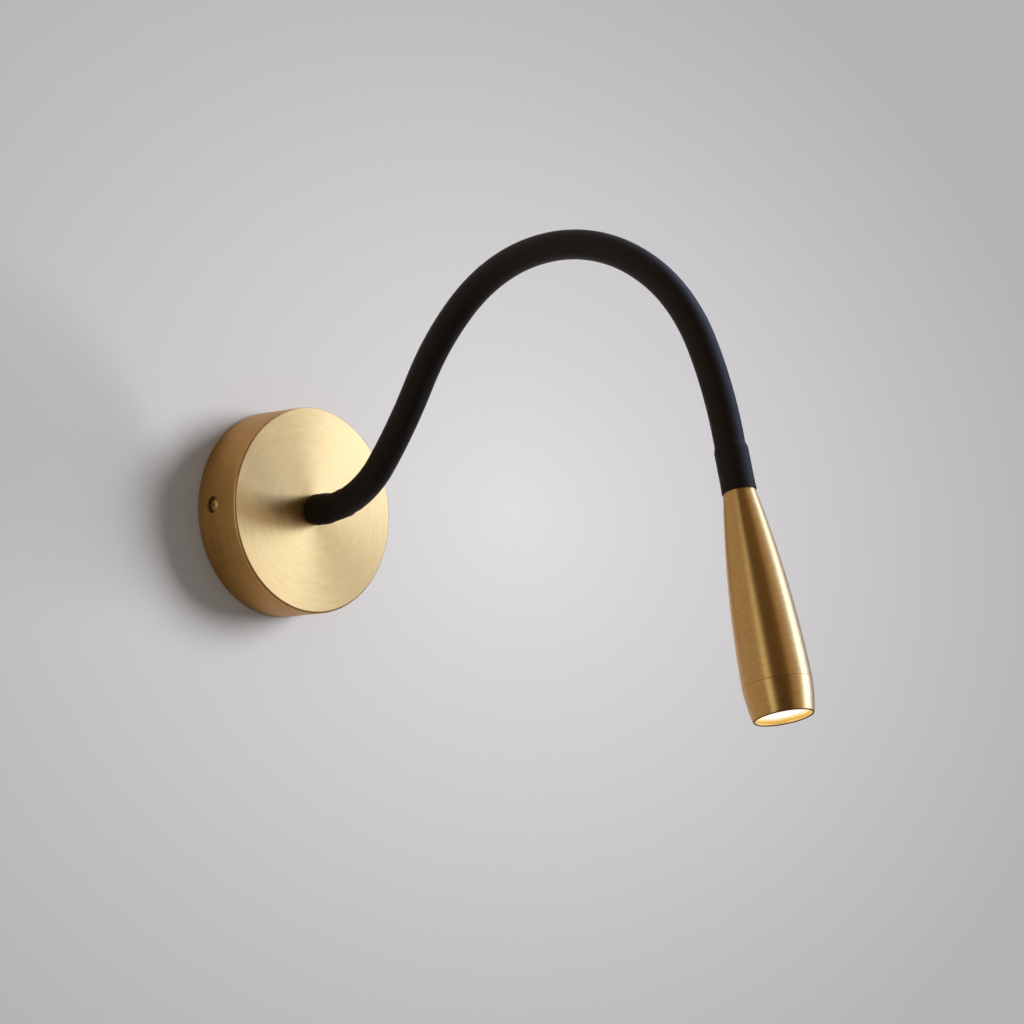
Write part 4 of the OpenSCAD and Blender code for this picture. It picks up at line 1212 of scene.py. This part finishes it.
def wall_paint():
    """Matt paint without any gloss, pale grey."""
    material, tree = new_material("pale_wall_paint")
    place = add(tree, "ShaderNodeTexCoord")
    offset = add(tree, "ShaderNodeVectorMath", {0: place.outputs["Object"], 1: wall_middle},
                 operation="SUBTRACT")
    # The bright part is round in the picture, so it is stretched along the wall
    squeezed = add(tree, "ShaderNodeVectorMath", {
        0: offset.outputs[0], 1: (math.cos(AZIMUTH), 1, 1)}, operation="MULTIPLY")
    reach = add(tree, "ShaderNodeVectorMath", {0: squeezed.outputs[0]}, operation="LENGTH")
    share = add(tree, "ShaderNodeMath", {0: reach.outputs["Value"], 1: 1 / (FALL_END * px)},
                operation="MULTIPLY")
    fall = add(tree, "ShaderNodeValToRGB", {"Fac": share.outputs[0]})
    set_stops(fall, [
        (pixels / FALL_END, [value * part for part in PAINT_TINT] + [1.0])
        for pixels, value in FALL])
    paint = add(tree, "ShaderNodeBsdfDiffuse", {"Color": fall.outputs["Color"]})
    clear = add(tree, "ShaderNodeBsdfTransparent")
    path = add(tree, "ShaderNodeLightPath")
    side = add(tree, "ShaderNodeNewGeometry")
    hidden = add(tree, "ShaderNodeMath", {
        0: path.outputs["Is Camera Ray"], 1: side.outputs["Backfacing"]}, operation="MULTIPLY")
    shown = add(tree, "ShaderNodeMixShader", {
        0: hidden.outputs[0], 1: paint.outputs[0], 2: clear.outputs[0]})
    close_material(tree, shown)
    return material


paint = wall_paint()
print("brightest place of the wall:", [round(c, 3) for c in wall_middle])

# %% [markdown]
# ## The wall
# The wall is one flat ring of faces round an opening behind the canopy. The
# opening is smaller than the canopy, so it doesn't show from the front, and it
# lets light into the canopy for a view from behind.

# %% The wall
WALL_LEFT = 3.0
WALL_RIGHT = 2.0
WALL_HALF_HEIGHT = 1.5
OPENING_R = 42.0
OPENING_AROUND = 64
# Least value to divide by, where a direction runs along an axis
LEAST = 0.01


def wall_with_opening():
    """A large flat wall just behind the light, with a round opening behind the canopy."""
    verts, faces, around = [], [], OPENING_AROUND
    for a in range(around):
        t = 2 * math.pi * a / around
        width = WALL_RIGHT if math.cos(t) > 0 else WALL_LEFT
        border = min(width / max(abs(math.cos(t)), LEAST),
                     WALL_HALF_HEIGHT / max(abs(math.sin(t)), LEAST))
        for r in (OPENING_R * MM, border):
            verts.append((r * math.cos(t), WALL_Y, r * math.sin(t)))
        b = (a + 1) % around
        faces.append((2 * a, 2 * a + 1, 2 * b + 1, 2 * b))
    mesh = bpy.data.meshes.new("wall")
    mesh.from_pydata(verts, [], faces)
    return place_mesh("wall", mesh, paint)


wall = wall_with_opening()
print("wall faces", tuple(round(c) for c in wall.data.polygons[0].normal))

# %% [markdown]
# ## Light
# One large soft light stands far away on the right and a little high. It lights
# the wall evenly and throws the canopy's shadow to the left. Satin metal needs
# more from its lamps than a wall does, so it has some of its own, which show in
# reflections and leave the wall alone: a bluish twin of the large light, which the
# brass turns to a near white, and soft boxes on the left, on the right, in front
# and above, each for one streak or shade of the brass. The last box lights the
# head alone and widens its bright streak. A faint sun behind the wall shines
# through the opening, for a view from behind.

# %% Kinds of lamps
# The soft boxes look at this point, in the middle of the light and a little to its right
AIM = Vector((0.03, -0.15, 0))


def direction(azimuth, elevation):
    """From the light towards the room, degrees to the right of straight out, and upwards."""
    a, e = math.radians(azimuth), math.radians(elevation)
    return Vector((math.sin(a) * math.cos(e), -math.cos(a) * math.cos(e), math.sin(e)))


def hang_lamp(name, data, azimuth, elevation, power, colour):
    """Puts a lamp in the scene that shines from this direction."""
    data.energy = power
    data.color = linear(colour)[:3]
    lamp = new_object(name, data)
    lamp.rotation_euler = (-direction(azimuth, elevation)).to_track_quat("-Z", "Y").to_euler()
    return lamp


def far_light(name, azimuth, elevation, spread, strength, colour):
    """A large soft source far away, so wide in degrees, with even light over the wall."""
    data = bpy.data.lights.new(name, "SUN")
    data.angle = math.radians(spread)
    return hang_lamp(name, data, azimuth, elevation, strength, colour)


def soft_box(name, azimuth, elevation, distance, size, power, colour):
    """A box this many metres wide and high, at this distance. It shows in reflections only."""
    data = bpy.data.lights.new(name, "AREA")
    data.shape = "RECTANGLE"
    data.size, data.size_y = size
    lamp = hang_lamp(name, data, azimuth, elevation, power, colour)
    lamp.location = AIM + direction(azimuth, elevation) * distance
    lamp.visible_diffuse = False
    return lamp


print("soft boxes look at", tuple(round(c, 2) for c in AIM))

# %% Lamps
key = far_light("key", 52, 13, spread=30, strength=3.5, colour="#F9F9FF")
key.visible_glossy = False
far_light("behind_wall", 180, 20, spread=40, strength=0.9, colour="#FFF6EA")
key_in_metal = far_light("key_in_metal", 57, 13.5, spread=24, strength=2.1, colour="#99BDFF")
key_in_metal.visible_diffuse = False
# Name, azimuth, elevation, distance, width and height, power, colour
for settings in (
        ("left_strip", -74, 0, 1.6, (0.45, 1.6), 4.7, "#E2F3FF"),
        ("key_edge", 38, -6, 3.0, (0.85, 2.2), 22.0, "#B0CDFF"),
        ("key_above", 76, 48, 2.5, (1.3, 1.2), 40.0, "#A5C4FF"),
        ("ceiling", -15, 60, 2.5, (2.5, 1.2), 2.6, "#FFE8C8"),
        ("front_panel", 14, 12, 2.5, (1.65, 4.4), 8.8, "#FFF4E0")):
    soft_box(*settings)
# Light linking: the last box reaches only the pieces in this collection
head_only = bpy.data.collections.new("head_only")
head_only.objects.link(head)
head_only.objects.link(nose)
head_edge = soft_box("head_edge", 68, 4, 2.5, (1.6, 2.4), 40.0, "#93B8FF")
head_edge.light_linking.receiver_collection = head_only

# %% [markdown]
# ## The room
# The world is three things at once: an even pale backdrop for the camera, a dim
# warm room for metal to reflect, which is what the dark parts of the brass show,
# and a soft fill for everything matt. The kind of ray decides which of them is
# seen.

# %% The room
def room():
    """Even pale surroundings, a dim warm room in reflections, and a soft fill."""
    world = bpy.data.worlds.new("studio")
    world.use_nodes = True
    tree = world.node_tree
    tree.nodes.clear()
    path = add(tree, "ShaderNodeLightPath")
    pale = add(tree, "ShaderNodeBackground", {"Color": linear("#C8C6C8"), "Strength": 1.0})
    dim = add(tree, "ShaderNodeBackground", {"Color": linear("#FFDFB4"), "Strength": 0.08})
    fill = add(tree, "ShaderNodeBackground", {"Color": linear("#FBF5F0"), "Strength": 0.26})
    seen = add(tree, "ShaderNodeMath", {
        0: path.outputs["Is Camera Ray"], 1: path.outputs["Is Transmission Ray"]},
        operation="MAXIMUM")
    mirrored = add(tree, "ShaderNodeMixShader", {
        0: path.outputs["Is Glossy Ray"], 1: fill.outputs[0], 2: dim.outputs[0]})
    both = add(tree, "ShaderNodeMixShader", {
        0: seen.outputs[0], 1: mirrored.outputs[0], 2: pale.outputs[0]})
    add(tree, "ShaderNodeOutputWorld", {"Surface": both.outputs[0]})
    bpy.context.scene.world = world


room()
print("room of", len(bpy.context.scene.world.node_tree.nodes), "nodes")
